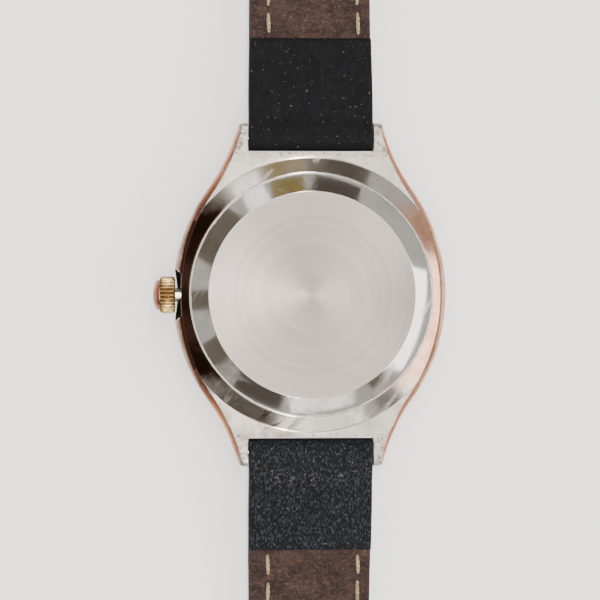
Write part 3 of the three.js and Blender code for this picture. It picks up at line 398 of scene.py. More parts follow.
def addBump(tree, shader, height, strength, distance):
    bump = addNode(tree, "Bump", {"Height": height, "Strength": strength, "Distance": distance * mm})
    tree.links.new(bump.outputs[0], shader.inputs["Normal"])
    return bump


def metalFinish(name, look):
    made, tree, shader, place = newMaterial(name)
    stain = useGroup(tree, tarnish, {
        "Place": place, "Base": look["base"], "Stain": look["stain"],
        "Patch Scale": look.get("patches", 260.0),
        "Amount": look.get("amount", 0.45), "Sharpness": look.get("soft", 0.16),
    })
    marks = useGroup(tree, scratches, {
        "Place": place, "Line Scale": look.get("lines", 700.0), "Pit Scale": look.get("pits", 2600.0),
    })
    low, high = look["roughness"]
    rough = spread(tree, stain["Mask"], low, high)
    rough = math2(tree, "ADD", rough, times(tree, marks["Lines"], look.get("lineRough", 0.12)))
    rough = math2(tree, "ADD", rough, times(tree, marks["Pits"], look.get("pitRough", 0.1)))
    tree.links.new(rough, shader.inputs["Roughness"])
    shade = blendColours(tree, times(tree, marks["Pits"], look.get("pitDark", 0.4)), stain["Color"],
                         look.get("pitColour", colour(60, 50, 42)))
    tree.links.new(shade, shader.inputs["Base Color"])
    shader.inputs["Metallic"].default_value = 1.0
    height = math2(tree, "ADD", times(tree, marks["Lines"], -0.5),
                   times(tree, marks["Pits"], -look.get("pitDeep", 0.5)))
    addBump(tree, shader, height, look.get("bump", 0.25), 0.02)
    return made, tree, shader, place, shade, rough, height


caseLook = {
    "ring": dict(base=colour(205, 198, 190), stain=colour(168, 158, 148), patches=150.0, amount=0.45,
                 roughness=(0.10, 0.20),
                 lines=420.0, pits=1500.0, pitDark=0.25, pitDeep=0.2, bump=0.12),
    "plate": dict(base=colour(206, 200, 193), stain=colour(176, 166, 155), patches=420.0, amount=0.48,
                  roughness=(0.34, 0.46),
                  lines=500.0, pits=1900.0, pitDark=0.55, pitDeep=0.9, bump=0.55),
    "inside": dict(base=colour(190, 184, 176), stain=colour(150, 140, 130), patches=200.0, amount=0.4,
                   roughness=(0.3, 0.4)),
}


def paintedSideLight(tree, place):
    # painted light: the plating is painted darker as shade on the crown side and paler as lit on the other, with
    # patchy tone
    parts = addNode(tree, "SeparateXYZ", {"Vector": place}).outputs
    side = rampMm(tree, parts["X"], -9.0, 12.0)
    patchy = noiseOf(tree, place, 210.0, 5.0, 0.65)
    dark = blendColours(tree, patchy, colour(80, 55, 44), colour(48, 34, 28))
    pale = blendColours(tree, ramp(tree, patchy, 0.35, 0.65), colour(216, 172, 146), colour(184, 128, 104))
    return blendColours(tree, side, dark, pale), parts


def partPlated(name, look):
    made, tree, shader, place, shade = metalFinish(name, look)[:5]
    # the plating at the sides carries painted side light: painted shade on the crown side, painted highlight on
    # the other
    sideLitTone, parts = paintedSideLight(tree, place)
    reach = math2(tree, "ABSOLUTE", parts["Y"], 0.0)
    wander = times(tree, math2(tree, "SUBTRACT", noiseOf(tree, place, 260.0, 5.0, 0.7), 0.5), 0.006)
    plated = rampMm(tree, math2(tree, "ADD", reach, wander), 14.2, 11.2)
    shade = blendColours(tree, plated, shade, sideLitTone)
    # old scuffs on the ring below the crown, and pits where the strap rubs
    flat = addNode(tree, "VectorMath", {0: place, 1: (-0.0046, -0.0170, 0.008)},
                   operation="DISTANCE").outputs["Value"]
    near = rampMm(tree, flat, 4.6, 2.0)
    marks = noiseOf(tree, addNode(tree, "Mapping", {"Vector": place, "Rotation": (0, 0, 0.9)}).outputs[0],
                    900.0, 3.0, 0.6, (1.0, 0.12, 1.0))
    scuff = times(tree, near, ramp(tree, marks, 0.52, 0.60))
    gnaw = times(tree, rampMm(tree, reach, 19.4, 20.1),
                 ramp(tree, noiseOf(tree, place, 1500.0, 4.0, 0.7), 0.5, 0.6))
    shade = blendColours(tree, times(tree, math2(tree, "MAXIMUM", scuff, gnaw), 0.75), shade,
                         colour(92, 70, 56))
    tree.links.new(shade, shader.inputs["Base Color"])
    return made


def wornRoseGold():
    look = dict(base=colour(206, 150, 122), stain=colour(112, 72, 54), patches=230.0, amount=0.5, soft=0.12,
                roughness=(0.2, 0.42), pits=1700.0, pitDark=0.6, pitDeep=0.7, bump=0.35)
    made, tree, shader, place, shade = metalFinish("worn rose gold plating", look)[:5]
    # the plating is rubbed through to steel on the lug tips and in spots along the flanks
    parts = addNode(tree, "SeparateXYZ", {"Vector": place}).outputs
    reach = math2(tree, "ABSOLUTE", parts["Y"], 0.0)
    tips = rampMm(tree, reach, 22.2, 24.0)
    spots = ramp(tree, noiseOf(tree, place, 330.0, 5.0, 0.7), 0.56, 0.66)
    high = rampMm(tree, parts["Z"], 6.8, 8.0)
    bare = math2(tree, "MAXIMUM", tips, times(tree, spots, high))
    # painted side light: painted shade on the crown side, painted highlight on the other
    sideLitTone, parts = paintedSideLight(tree, place)
    copper = blendColours(tree, rampMm(tree, reach, 12.0, 17.0), sideLitTone, colour(196, 128, 96))
    shade = blendColours(tree, 0.72, shade, copper)
    shade = blendColours(tree, bare, shade, colour(196, 188, 180))
    # the recess behind the crown: a painted highlight along the rim, then old dirt with painted shade
    around = radiusFrom(tree, place, (0, 1, 1), (0, 0, -crownHeight * mm))
    beside = rampMm(tree, parts["X"], -18.2, -18.3)
    # painted highlight along the rim of the recess
    rim = times(tree, beside, rampMm(tree, around, 3.96, 3.80))
    shade = blendColours(tree, rim, shade, colour(214, 200, 182))
    # painted shade, with dirt, inside the recess
    recessDirtAndShade = times(tree, beside, rampMm(tree, around, 3.78, 3.66))
    shade = blendColours(tree, times(tree, recessDirtAndShade, 0.95), shade, colour(26, 19, 15))
    tree.links.new(shade, shader.inputs["Base Color"])
    return made


def brushedCaseback():
    look = dict(base=colour(188, 180, 176), stain=colour(172, 160, 154), patches=90.0, amount=0.5, soft=0.3,
                roughness=(0.30, 0.36), lines=260.0, pits=2400.0, pitDark=0.12, pitDeep=0.15, bump=0.2,
                lineRough=0.06)
    made, tree, shader, place, shade, rough, height = metalFinish("lathe brushed steel", look)
    rings = useGroup(tree, turning, {"Place": place, "Ring Scale": 7000.0, "Broad Scale": 700.0})
    shade = blendColours(tree, times(tree, ramp(tree, rings["Bands"], 0.3, 0.7), 0.5), shade,
                         colour(158, 147, 141))
    tree.links.new(shade, shader.inputs["Base Color"])
    fine = math2(tree, "ADD", times(tree, rings["Height"], 1.1), height)
    bump = next(n for n in tree.nodes if n.bl_idname == "ShaderNodeBump")
    tree.links.new(fine, bump.inputs["Height"])
    shader.inputs["Anisotropic"].default_value = 0.6
    tangent = addNode(tree, "Tangent", direction_type="RADIAL", axis="Z")
    tree.links.new(tangent.outputs[0], shader.inputs["Tangent"])
    return made


def polishedBevel(look):
    made, tree, shader, place, shade, rough = metalFinish("polished caseback bevel", look)[:6]
    radius = radiusFrom(tree, place, (1, 1, 0))
    chips = times(tree, math2(tree, "SUBTRACT", noiseOf(tree, place, 900.0, 4.0, 0.7), 0.5), 0.0004)
    # the outer edge is pale and rougher: edge wear with a painted highlight along it
    worn = rampMm(tree, math2(tree, "ADD", radius, chips), 17.02, 17.10)
    tree.links.new(blendColours(tree, worn, shade, colour(244, 240, 234)), shader.inputs["Base Color"])
    tree.links.new(math2(tree, "ADD", rough, times(tree, worn, 0.4)), shader.inputs["Roughness"])
    return made


def leatherFinish(name, look):
    made, tree, shader, place = newMaterial(name)
    skin = useGroup(tree, hide, {
        "Place": place, "Cell Scale": look["cells"], "Crease Scale": look["creases"],
        "Crease Stretch": look["stretch"],
    })
    stain = useGroup(tree, tarnish, {
        "Place": place, "Base": look["base"], "Stain": look["stain"], "Patch Scale": look["patches"],
        "Amount": look["amount"], "Sharpness": look["soft"],
    })
    fine = noiseOf(tree, place, look["fleck"], 5.0, 0.75)
    shade = blendColours(tree, times(tree, ramp(tree, fine, 0.5, 0.72), look["fleckShare"]), stain["Color"],
                         look["fleckColour"])
    shade = blendColours(tree, times(tree, skin["Creases"], look["creaseDark"]), shade,
                         look["creaseColour"])
    shade = blendColours(tree, times(tree, skin["Dust"], look["dust"]), shade, colour(190, 186, 178))
    rough = spread(tree, fine, look["roughness"][0], look["roughness"][1])
    tree.links.new(shade, shader.inputs["Base Color"])
    tree.links.new(rough, shader.inputs["Roughness"])
    addBump(tree, shader, skin["Height"], look["bump"], look["deep"])
    shader.inputs["Specular IOR Level"].default_value = look["gloss"]
    return made, tree, shader, place, shade


def blackLeather():
    made, tree, shader, place, shade = leatherFinish("black leather", dict(
        base=colour(8, 9, 14), stain=colour(4, 5, 8), patches=500.0, amount=0.5, soft=0.25, cells=2600.0,
        creases=1500.0, stretch=(1.0, 0.22, 1.0), fleck=2600.0, fleckShare=0.3,
        fleckColour=colour(36, 39, 50),
        creaseDark=0.6, creaseColour=colour(5, 5, 7), dust=0.35, roughness=(0.5, 0.7), bump=0.6, deep=0.07,
        gloss=0.18))
    # rubbed pale across the fold beside the bar of the half that is buckled most
    parts = addNode(tree, "SeparateXYZ", {"Vector": place}).outputs
    band = times(tree, rampMm(tree, parts["Y"], -27.5, -26.2), rampMm(tree, parts["Y"], -24.0, -25.2))
    torn = noiseOf(tree, place, 1700.0, 6.0, 0.8, (0.7, 1.0, 1.0))
    rub = times(tree, band, ramp(tree, torn, 0.56, 0.68))
    shade = blendColours(tree, times(tree, rub, 0.6), shade, colour(150, 146, 138))
    # painted glints on the ridges of fine wrinkles on the same half, and pale specks
    lower = rampMm(tree, parts["Y"], 0.0, -20.0)
    wrinkles = ramp(tree, noiseOf(tree, place, 4400.0, 2.0, 0.5, (1.0, 0.4, 1.0)), 0.5, 0.68)
    # painted highlight on the wrinkle ridges
    paintedGlints = times(tree, times(tree, lower, wrinkles), 0.36)
    shade = blendColours(tree, paintedGlints, shade, colour(84, 90, 104))
    specks = times(tree, lower, ramp(tree, noiseOf(tree, place, 3600.0, 2.0, 0.5), 0.66, 0.72))
    shade = blendColours(tree, times(tree, specks, 0.2), shade, colour(170, 170, 168))
    tree.links.new(shade, shader.inputs["Base Color"])
    return made


def brownLining():
    made, _, shader = leatherFinish("brown nubuck lining", dict(
        base=colour(72, 54, 49), stain=colour(46, 35, 35), patches=420.0, amount=0.52, soft=0.12,
        cells=3000.0,
        creases=1400.0, stretch=(0.45, 1.0, 1.0), fleck=2300.0, fleckShare=0.75,
        fleckColour=colour(118, 86, 64),
        creaseDark=0.5, creaseColour=colour(24, 18, 18), dust=0.2, roughness=(0.78, 0.95), bump=0.6,
        deep=0.06, gloss=0.2))[:3]
    shader.inputs["Sheen Weight"].default_value = 0.12
    shader.inputs["Sheen Roughness"].default_value = 0.5
    return made


def stitchThread():
    made, tree, shader, place = newMaterial("cream thread")
    twist = addNode(tree, "TexWave", {"Vector": place, "Scale": 900.0, "Distortion": 2.0, "Detail": 2.0},
                    bands_direction="DIAGONAL")
    shade = blendColours(tree, twist.outputs["Fac"], colour(186, 172, 136), colour(140, 124, 92))
    dirt = ramp(tree, noiseOf(tree, place, 700.0, 4.0), 0.5, 0.75)
    tree.links.new(blendColours(tree, dirt, shade, colour(112, 92, 68)), shader.inputs["Base Color"])
    rough = spread(tree, twist.outputs["Fac"], 0.7, 0.9)
    tree.links.new(rough, shader.inputs["Roughness"])
    addBump(tree, shader, twist.outputs["Fac"], 0.5, 0.03)
    return made


def flutedGold():
    look = dict(base=colour(214, 186, 128), stain=colour(170, 134, 82), patches=700.0, amount=0.45,
                roughness=(0.22, 0.36), pits=2600.0)
    made, tree, shader, place, shade = metalFinish("worn yellow gold plating", look)[:5]
    # the bottom of the flutes is darker
    radius = radiusFrom(tree, place, (0, 1, 1), (0, 0, -crownHeight * mm))
    parts = addNode(tree, "SeparateXYZ", {"Vector": place}).outputs
    onCrown = times(tree, rampMm(tree, parts["X"], -19.0, -19.2), rampMm(tree, radius, 2.1, 2.2))
    deep = times(tree, onCrown, rampMm(tree, radius, 2.54, 2.36))
    tree.links.new(blendColours(tree, times(tree, deep, 0.85), shade, colour(70, 50, 30)),
                   shader.inputs["Base Color"])
    return made


def clearCrystal():
    made, tree, shader, place = newMaterial("clear crystal")
    marks = useGroup(tree, scratches, {"Place": place, "Line Scale": 300.0, "Pit Scale": 1500.0})
    rough = spread(tree, marks["Lines"], 0.02, 0.2)
    tint = blendColours(tree, noiseOf(tree, place, 60.0), colour(250, 252, 252), colour(240, 245, 246))
    tree.links.new(rough, shader.inputs["Roughness"])
    tree.links.new(tint, shader.inputs["Base Color"])
    shader.inputs["Transmission Weight"].default_value = 1.0
    shader.inputs["IOR"].default_value = 1.49
    return made


def softFinish(name, base, stain, roughness, patches=240.0, bump=0.2, scale=1500.0):
    made, tree, shader, place = newMaterial(name)
    mask = noiseOf(tree, place, patches, 5.0)
    tree.links.new(blendColours(tree, mask, base, stain), shader.inputs["Base Color"])
    rough = spread(tree, mask, roughness[0], roughness[1])
    tree.links.new(rough, shader.inputs["Roughness"])
    addBump(tree, shader, noiseOf(tree, place, scale, 3.0), bump, 0.02)
    return made


def stripedNickel():
    look = dict(base=colour(206, 203, 196), stain=colour(178, 172, 162), patches=220.0, amount=0.4,
                roughness=(0.24, 0.34), bump=0.15)
    made, tree, shader, place, shade = metalFinish("striped nickel", look)[:5]
    stripes = addNode(tree, "TexWave", {"Vector": place, "Scale": 190.0, "Distortion": 0.4},
                      bands_direction="DIAGONAL", wave_profile="SAW")
    shade = blendColours(tree, times(tree, stripes.outputs["Fac"], 0.35), shade, colour(140, 136, 130))
    tree.links.new(shade, shader.inputs["Base Color"])
    return made


finishes = {
    "ring": partPlated("polished steel ring", caseLook["ring"]),
    "plate": partPlated("matte pitted steel", caseLook["plate"]),
    "inside": metalFinish("turned steel inside", caseLook["inside"])[0],
    "flank": wornRoseGold(),
    "back": brushedCaseback(),
    "bevel": polishedBevel(dict(
        base=colour(205, 200, 194), stain=colour(176, 168, 158), patches=170.0, amount=0.42,
        roughness=(0.07, 0.16),
        lines=380.0, pits=1500.0, pitDark=0.2, pitDeep=0.2, bump=0.1)),
    "steel": metalFinish("polished steel", dict(
        base=colour(204, 202, 198), stain=colour(170, 166, 160), patches=300.0, amount=0.4,
        roughness=(0.14, 0.26)))[0],
    "gold": flutedGold(),
    "copper": metalFinish("coppery crown cap", dict(
        base=colour(168, 112, 86), stain=colour(104, 66, 50), patches=500.0, amount=0.5,
        roughness=(0.26, 0.4), pits=2400.0))[0],
    "brass": metalFinish("movement brass", dict(
        base=colour(214, 178, 112), stain=colour(176, 136, 78), patches=400.0, amount=0.35,
        roughness=(0.2, 0.32)))[0],
    "nickel": stripedNickel(),
    "gear steel": metalFinish("movement steel", dict(
        base=colour(190, 190, 192), stain=colour(148, 148, 152), patches=500.0, amount=0.35,
        roughness=(0.16, 0.26)))[0],
    "blued": metalFinish("blued steel", dict(
        base=colour(46, 66, 140), stain=colour(30, 38, 92), patches=600.0, amount=0.4,
        roughness=(0.14, 0.24)))[0],
    "leather": blackLeather(),
    "lining": brownLining(),
    "thread": stitchThread(),
    "crystal": clearCrystal(),
    "rubber": softFinish("gasket rubber", colour(30, 30, 32), colour(44, 43, 42), (0.7, 0.85)),
    "dial": softFinish("silvered dial", colour(226, 220, 206), colour(214, 206, 190), (0.38, 0.5),
                       patches=160.0, bump=0.08),
}
print("wristwatch: finishes made")

# carried-over pieces take a finish by the slot that the record gives them
slotFinish = {
    "rose_gold_case": "flank", "caseback_steel": "back", "polished_steel": "steel", "crown_gold": "gold",
    "movement_brass": "brass", "movement_nickel": "nickel", "movement_steel": "gear steel",
    "blued_steel": "blued",
    "gasket_rubber": "rubber", "crystal_glass": "crystal", "dial_paint": "dial", "black_leather": "leather",
    "brown_lining": "lining",
}
slotOf = {s["node"]: s["material_slot"] for s in frame["record"]["subparts"]}
for name, node in nodes.items():
    if not node.material_slots:
        node.data.materials.append(None)
    node.material_slots[0].link = "OBJECT"
    node.material_slots[0].material = finishes[slotFinish[slotOf[name]]]


def fit(piece, body, slot, *replaced):
    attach(piece, body)
    if replaced:
        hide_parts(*replaced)
    return piece


# the case middle: one closed ring of stations round the watch, then the strap gaps cut out
caseSize = {
    "stations": 480, "flankRadius": 25.4, "halfWidth": 19.5, "lugTip": 24.4, "lugHalfWidth": 10.4,
    "gapHalfWidth": 9.0, "plateEnd": 20.2, "seatRadius": 17.3, "ringRadius": 19.6, "bore": 15.4,
    "snap": 15.9,
    "flange": 14.2, "front": 2.6, "plate": 7.4, "back": 8.4, "edge": 0.34, "chamfer": 0.66,
    "scoopRadius": 3.8, "scoopBelow": 2.7, "scoopFloor": 18.4,
}


def caseQuarter():
    c = caseSize
    centre = c["halfWidth"] - c["flankRadius"]
    last = math.asin(0.79 * c["halfWidth"] / c["flankRadius"])
    points = [
        (centre + c["flankRadius"] * math.cos(last * k / 24), c["flankRadius"] * math.sin(last * k / 24))
        for k in range(25)
    ]
    tipX, tipY = c["lugHalfWidth"], c["lugTip"]
    points += [bezier(points[-1], (tipX + 1.2, tipY - 5.1), (tipX, tipY - 0.7), k / 16) for k in range(1,
            17)]
    points += [bezier((tipX, tipY - 0.7), (tipX, tipY), (tipX - 0.7, tipY), k / 6) for k in range(1, 7)]
    return points + [(0.0, tipY)]


def reachAt(turn, quarter):
    dx, dy = abs(math.cos(turn)), abs(math.sin(turn))
    for (ax, ay), (bx, by) in zip(quarter, quarter[1:]):
        a, b = ax * dy - ay * dx, bx * dy - by * dx
        if a >= -1e-9 and b <= 1e-9:
            t = a / (a - b) if a != b else 0.0
            return math.hypot(mix(ax, bx, t), mix(ay, by, t))
    return math.hypot(*quarter[-1])


def bezierHeight(y, start, control, end):
    # height at y on a curve of (y, z) points, flat before its start
    if y <= start[0]:
        return start[1]
    low, high = 0.0, 1.0
    for _ in range(24):
        t = (low + high) / 2
        if bezier(start, control, end, t)[0] < y:
            low = t
        else:
            high = t
    return bezier(start, control, end, low)[1]


def plateHeight(y):
    c = caseSize
    return bezierHeight(abs(y), (c["plateEnd"] - 2, c["plate"]), (22.3, c["plate"]),
                        (c["lugTip"], c["plate"] + 0.5))


def frontHeight(y):
    c = caseSize
    return bezierHeight(abs(y), (c["plateEnd"] - 6, c["front"]), (c["plateEnd"], c["front"] + 0.2),
                        (c["lugTip"], c["front"] + 2.6))


def flankWidth(z):
    share = (z - caseSize["front"]) / 6.0
    inset = (0.4 - share) ** 2 * 5 if share < 0.4 else (share - 0.4) ** 2 * 2.8
    return 1 - inset / caseSize["halfWidth"]


def makeCase():
    c = caseSize
    quarter = caseQuarter()
    rows = []
    for i in range(c["stations"]):
        turn = 2 * math.pi * (i + 0.5) / c["stations"]
        cosine, sine = math.cos(turn), math.sin(turn)
        reach = reachAt(turn, quarter)

        def wall(z):
            # the flank draws in across the watch only, so lug tips keep their length
            return math.hypot(reach * cosine * flankWidth(z), reach * sine)

        ringEnd = min(c["ringRadius"], wall(c["plate"]) - c["chamfer"])
        fall = (c["back"] - c["plate"]) / (c["ringRadius"] - c["seatRadius"])
        ringZ = c["back"] - (ringEnd - c["seatRadius"]) * fall
        topZ = plateHeight(reach * sine) if ringEnd >= c["ringRadius"] - 0.01 else ringZ
        lowZ = frontHeight(reach * sine)
        outline = [(c["bore"], 3.1), (c["bore"], 6.9), (c["snap"], 6.9), (c["snap"], c["back"]),
                   (16.05, c["back"]),
                   (16.05, 7.9), (16.75, 7.9), (16.75, c["back"]), (c["seatRadius"], c["back"]),
                   (ringEnd, ringZ)]
        topStart = max(ringEnd + 0.05, wall(topZ) - c["chamfer"])
        outline += [(mix(ringEnd, topStart, k / 6), plateHeight(mix(ringEnd, topStart, k / 6) * sine)
                     if ringEnd >= c["ringRadius"] - 0.01 else ringZ - 0.001 * k) for k in (1, 2, 3, 4, 5,
                             6)]
        shoulder = topZ - 0.8 * c["chamfer"]
        outline += [(wall(mix(shoulder, lowZ, k / 7)), mix(shoulder, lowZ, k / 7)) for k in range(0, 7)]
        lowStart = wall(lowZ)
        outline += [(mix(lowStart, c["flange"], k / 8),
                     frontHeight(mix(lowStart, c["flange"], k / 8) * sine)) for k in range(0, 9)]
        outline += [(c["flange"], 3.1)]
        outline = rounded(outline, c["edge"], 2, True)
        rows.append([Vector((r * cosine, r * sine, z)) for r, z in outline])
    verts, faces = gridFaces(rows, True, True)
    piece = meshPiece("caseMiddle", verts, faces)
    for side in (1, -1):
        gap = sorted((side * c["plateEnd"], side * 30.0))
        cutWith(piece, blockTool((-c["gapHalfWidth"], gap[0], -2), (c["gapHalfWidth"], gap[1], 14)))
    scoop = rodPiece("cutter", [(c["scoopRadius"], 0), (c["scoopRadius"], 6)],
                     (-c["scoopFloor"], 0, crownHeight), (-1, 0, 0), steps=72)
    axis, drop = crownHeight * mm, c["scoopBelow"] / c["scoopRadius"]
    for vertex in scoop.data.vertices:
        # flatter below the crown, so a thin dark lip of the case stays under it
        vertex.co.z = axis + min(0.0, vertex.co.z - axis) * drop + max(0.0, vertex.co.z - axis)
    cutWith(piece, scoop)
    cutWith(piece,
            rodPiece("cutter", [(1.08, 0), (1.08, 6)], (-14.0, 0, crownHeight), (-1, 0, 0), steps=32))

    def choose(centre, normal):
        across = math.hypot(centre.x, centre.y)
        if across < c["seatRadius"] + 0.05:
            return 2
        if normal.z > 0.75 and across < c["ringRadius"] - 0.02 and centre.z > c["plate"] - 0.02:
            return 0
        if normal.z > 0.85 and centre.z > 6.5:
            return 1
        if abs(centre.x) < c["gapHalfWidth"] + 0.02 and abs(centre.y) > c["plateEnd"] - 0.05:
            return 1
        return 3

    paintFaces(piece, [finishes["ring"], finishes["plate"], finishes["inside"], finishes["flank"]], choose)
    sharpCorners(piece, 34)
    return piece


fit(makeCase(), "case", "rose_gold_case", "case_middle")
print("wristwatch: case middle")


# the caseback: a press-fit cover with a polished bevel and a turned flat
backSize = {"radius": 17.2, "flat": 14.72, "top": 10.2, "rim": 8.6, "rimTop": 9.08, "inside": 8.9,
            "skirt": 15.7}


def makeCaseback():
    b = backSize
    outline = rounded([(0, b["inside"]), (15.0, b["inside"]), (15.0, 7.2), (b["skirt"], 7.2),
                       (b["skirt"], b["rim"]),
                       (b["radius"], b["rim"]), (b["radius"], b["rimTop"]),
                       (b["flat"] + 0.06, b["top"] - 0.06),
                       (b["flat"] - 0.1, b["top"]), (0, b["top"])], 0.09, 3)
    piece = turnedPiece("caseback", outline, finishes["back"], 320, closed=False)
    paintFaces(piece, [finishes["back"], finishes["bevel"]], lambda centre,
               normal: 0 if normal.z > 0.98 and centre.z > 10 else 1)
    sharpCorners(piece, 30)
    return piece


fit(makeCaseback(), "caseback", "caseback_steel", "caseback")


# bezel, crystal and dial, which lie against the floor
frontSize = {"bezelIn": 15.8, "bezelOut": 18.2, "bezelFront": 0.6, "bezelBack": 2.45, "crystal": 15.2,
             "crystalFlat": 1.4, "dial": 14.9}


def makeBezel():
    s = frontSize
    outline = rounded([(s["bezelIn"], s["bezelBack"]), (s["bezelIn"], s["bezelFront"]),
                       (s["bezelIn"] + 0.8, s["bezelFront"]),
                       (s["bezelOut"] - 0.5, 1.25), (s["bezelOut"], s["bezelBack"])], 0.2, 4, True)
    piece = turnedPiece("bezel", [tuple(p) for p in outline], finishes["flank"], 200)
    sharpCorners(piece)
    return piece


def makeCrystal():
    s = frontSize
    outline = rounded([(0, 0), (s["crystal"] - 1, 0), (s["crystal"], 0.7), (s["crystal"], 2.3),
                       (s["crystal"] - 1, 2.3),
                       (s["crystal"] - 1.1, s["crystalFlat"]), (0, s["crystalFlat"])], 0.25, 4)
    piece = turnedPiece("crystal", outline, finishes["crystal"], 200, closed=False)
    sharpCorners(piece)
    return piece


def makeDialMarks():
    # applied batons and minute dots on the face of the dial
    marks = []
    for hour in range(12):
        turn = math.pi / 6 * hour
        if hour == 6:
            continue
        length, half = (2.3, 0.32) if hour % 3 else (2.8, 0.42)
        outward = Vector((math.sin(turn), math.cos(turn), 0))
        across = Vector((outward.y, -outward.x, 0))
        rows = []
        for along, width, height in ((10.6, 0.5, 0.02), (10.75, 1, 0.16), (10.45 + length, 1, 0.16),
                                     (10.6 + length, 0.5, 0.02)):
            middle = outward * along
            rows.append([middle + across * half * width * side + Vector((0, 0, 3.29 - height * lift))
                         for side, lift in ((-1, 0), (-1, 0.6), (0, 1), (1, 0.6), (1, 0))])
        verts, faces = cappedGrid(rows)
        marks.append(meshPiece("baton", verts, faces, [finishes["gold"]], smooth=False))
    for minute in range(60):
        turn = math.pi / 30 * minute
        spot = (13.55 * math.sin(turn), 13.55 * math.cos(turn), 3.29)
        marks.append(rodPiece("dot", [(0.12, 0), (0.09, 0.05)], spot, (0, 0, -1), [finishes["blued"]],
                              steps=8))
    piece = joinPieces("dialMarks", marks)
    piece.data.polygons.foreach_set("use_smooth", [False] * len(piece.data.polygons))
    return piece


fit(makeBezel(), "case", "rose_gold_case", "bezel")
fit(makeCrystal(), "case", "crystal_glass", "crystal")
fit(makeDialMarks(), "case", "dial_paint")
print("wristwatch: caseback, bezel, crystal and dial marks")


# the crown: rounded flutes that fade at both rims, and a domed coppery cap
crownSize = {"radius": 2.6, "depth": 0.3, "flutes": 28, "inner": -19.24, "outer": -21.44, "dome": 0.93,
             "cap": 2.14, "hole": 1.18, "height": crownHeight}


def makeCrown():
    c = crownSize
    inner, outer, r = c["inner"], c["outer"], c["radius"]
    length = inner - outer
    profile = [(c["hole"], 0.9), (c["hole"], 0.0), (r - 0.42, 0.0), (r - 0.2, 0.06), (r - 0.05, 0.2),
               (r, 0.4), (r, length * 0.5),
               (r, length - 0.4), (r - 0.06, length - 0.18), (r - 0.24, length - 0.06),
               (r - 0.36, length - 0.03), (c["cap"] - 0.1, length)]
    steps = c["flutes"] * 10
    rows = []
    for k in range(steps):
        turn = 2 * math.pi * k / steps
        groove = (0.5 - 0.5 * math.cos(turn * c["flutes"])) ** 0.8
        row = []
        for radius, along in profile:
            fade = smooth01((radius - (r - 0.42)) / 0.3)
            reach = radius - c["depth"] * groove * fade
            row.append(Vector((inner - along, reach * math.cos(turn),
                               c["height"] + reach * math.sin(turn))))
        rows.append(row)
    verts, faces = gridFaces(rows, True, False)
    barrel = meshPiece("crownBarrel", verts, faces, [finishes["gold"]])
    dome = [(c["cap"], length - 0.05), (c["cap"], length + 0.12)]
    dome += [(c["cap"] * math.cos(a),
              length + 0.12 + (c["dome"] - 0.13) * math.sin(a))
             for a in [math.pi / 2 * k / 12 for k in range(1, 12)]]
    dome += [(0.02, length + c["dome"] - 0.01)]
    cap = rodPiece("crownCap", dome, (inner, 0, c["height"]), (-1, 0, 0), [finishes["copper"]], steps=72)
    piece = joinPieces("crown", [barrel, cap])
    sharpCorners(piece, 50)
    return piece


fit(makeCrown(), "crown", "crown_gold", "crown")


def makeBar(name, y, z):
    # a sprung bar: thin pins, shoulders and a sleeve
    profile = [(0.3, -9.5), (0.35, -9.4), (0.35, -8.75), (0.72, -8.7), (0.75, -8.6), (0.75, -8.1),
               (0.6, -8.0), (0.6, -7.8), (0.75, -7.7)]
    profile += [(r, -a) for r, a in reversed(profile)]
    piece = rodPiece(name, profile, (0, y, z), (1, 0, 0), [finishes["steel"]], steps=32)
    sharpCorners(piece)
    return piece


fit(makeBar("springBar12", 22.3, 6.6), "case", "polished_steel", "spring_bar_12")
fit(makeBar("springBar6", -22.3, 6.6), "case", "polished_steel", "spring_bar_6")
print("wristwatch: crown and spring bars")


# the strap: each half is laid along its own line from the bar; up on the line is towards the wrist
strapSize = {
    "barDistance": 22.3, "barHeight": 6.6, "width": 17.8, "tipWidth": 16.0, "root": 17.0,
    "foldEnd": 14.1, "outside": -1.1, "leatherTop": 0.3, "wrist": 1.1, "rootHalf": 1.5, "loop": 1.9,
    "buckleLoop": 1.5, "liningInset": 0.14, "across": 30, "station": 0.45,
}
stitchSize = {"pitch": 4.1, "length": 3.5, "radius": 0.25, "left": 2.75, "right": 1.9}
halves = {
    1: {"total": 72.0, "slopes": [(-99.0, -6.0), (17.0, -0.321)], "seed": 4},
    -1: {"total": 115.0, "slopes": [(-99.0, -9.0), (17.0, -3.583), (62.0, 0.0)], "seed": 9},
}


def layLine(side):
    # centre line of a half at every 0.05 mm: distance from the watch, height and slope
    half = halves[side]
    step, y, z = 0.05, strapSize["barDistance"], strapSize["barHeight"]
    first = math.radians(half["slopes"][0][1])
    line = [(y, z, first)]
    for k in range(int(half["total"] / step) + 60):
        s = (k + 0.5) * step
        slope = first
        for at, degrees in half["slopes"][1:]:
            slope = mix(slope, math.radians(degrees), smooth01((s - at + 3.0) / 6.0))
        y, z = y + math.cos(slope) * step, z + math.sin(slope) * step
        line.append((y, z, slope))
    return line


lines = {side: layLine(side) for side in (1, -1)}


def onStrap(side, s, x, z):
    line = lines[side]
    if s <= 0:
        y0, z0, slope = line[0]
        y0, z0 = y0 + s * math.cos(slope), z0 + s * math.sin(slope)
    else:
        k = min(s / 0.05, len(line) - 1.001)
        a, b = line[int(k)], line[int(k) + 1]
        y0, z0, slope = (mix(p, q, k - int(k)) for p, q in zip(a, b))
    return Vector((x, side * (y0 - math.sin(slope) * z), z0 + math.cos(slope) * z))


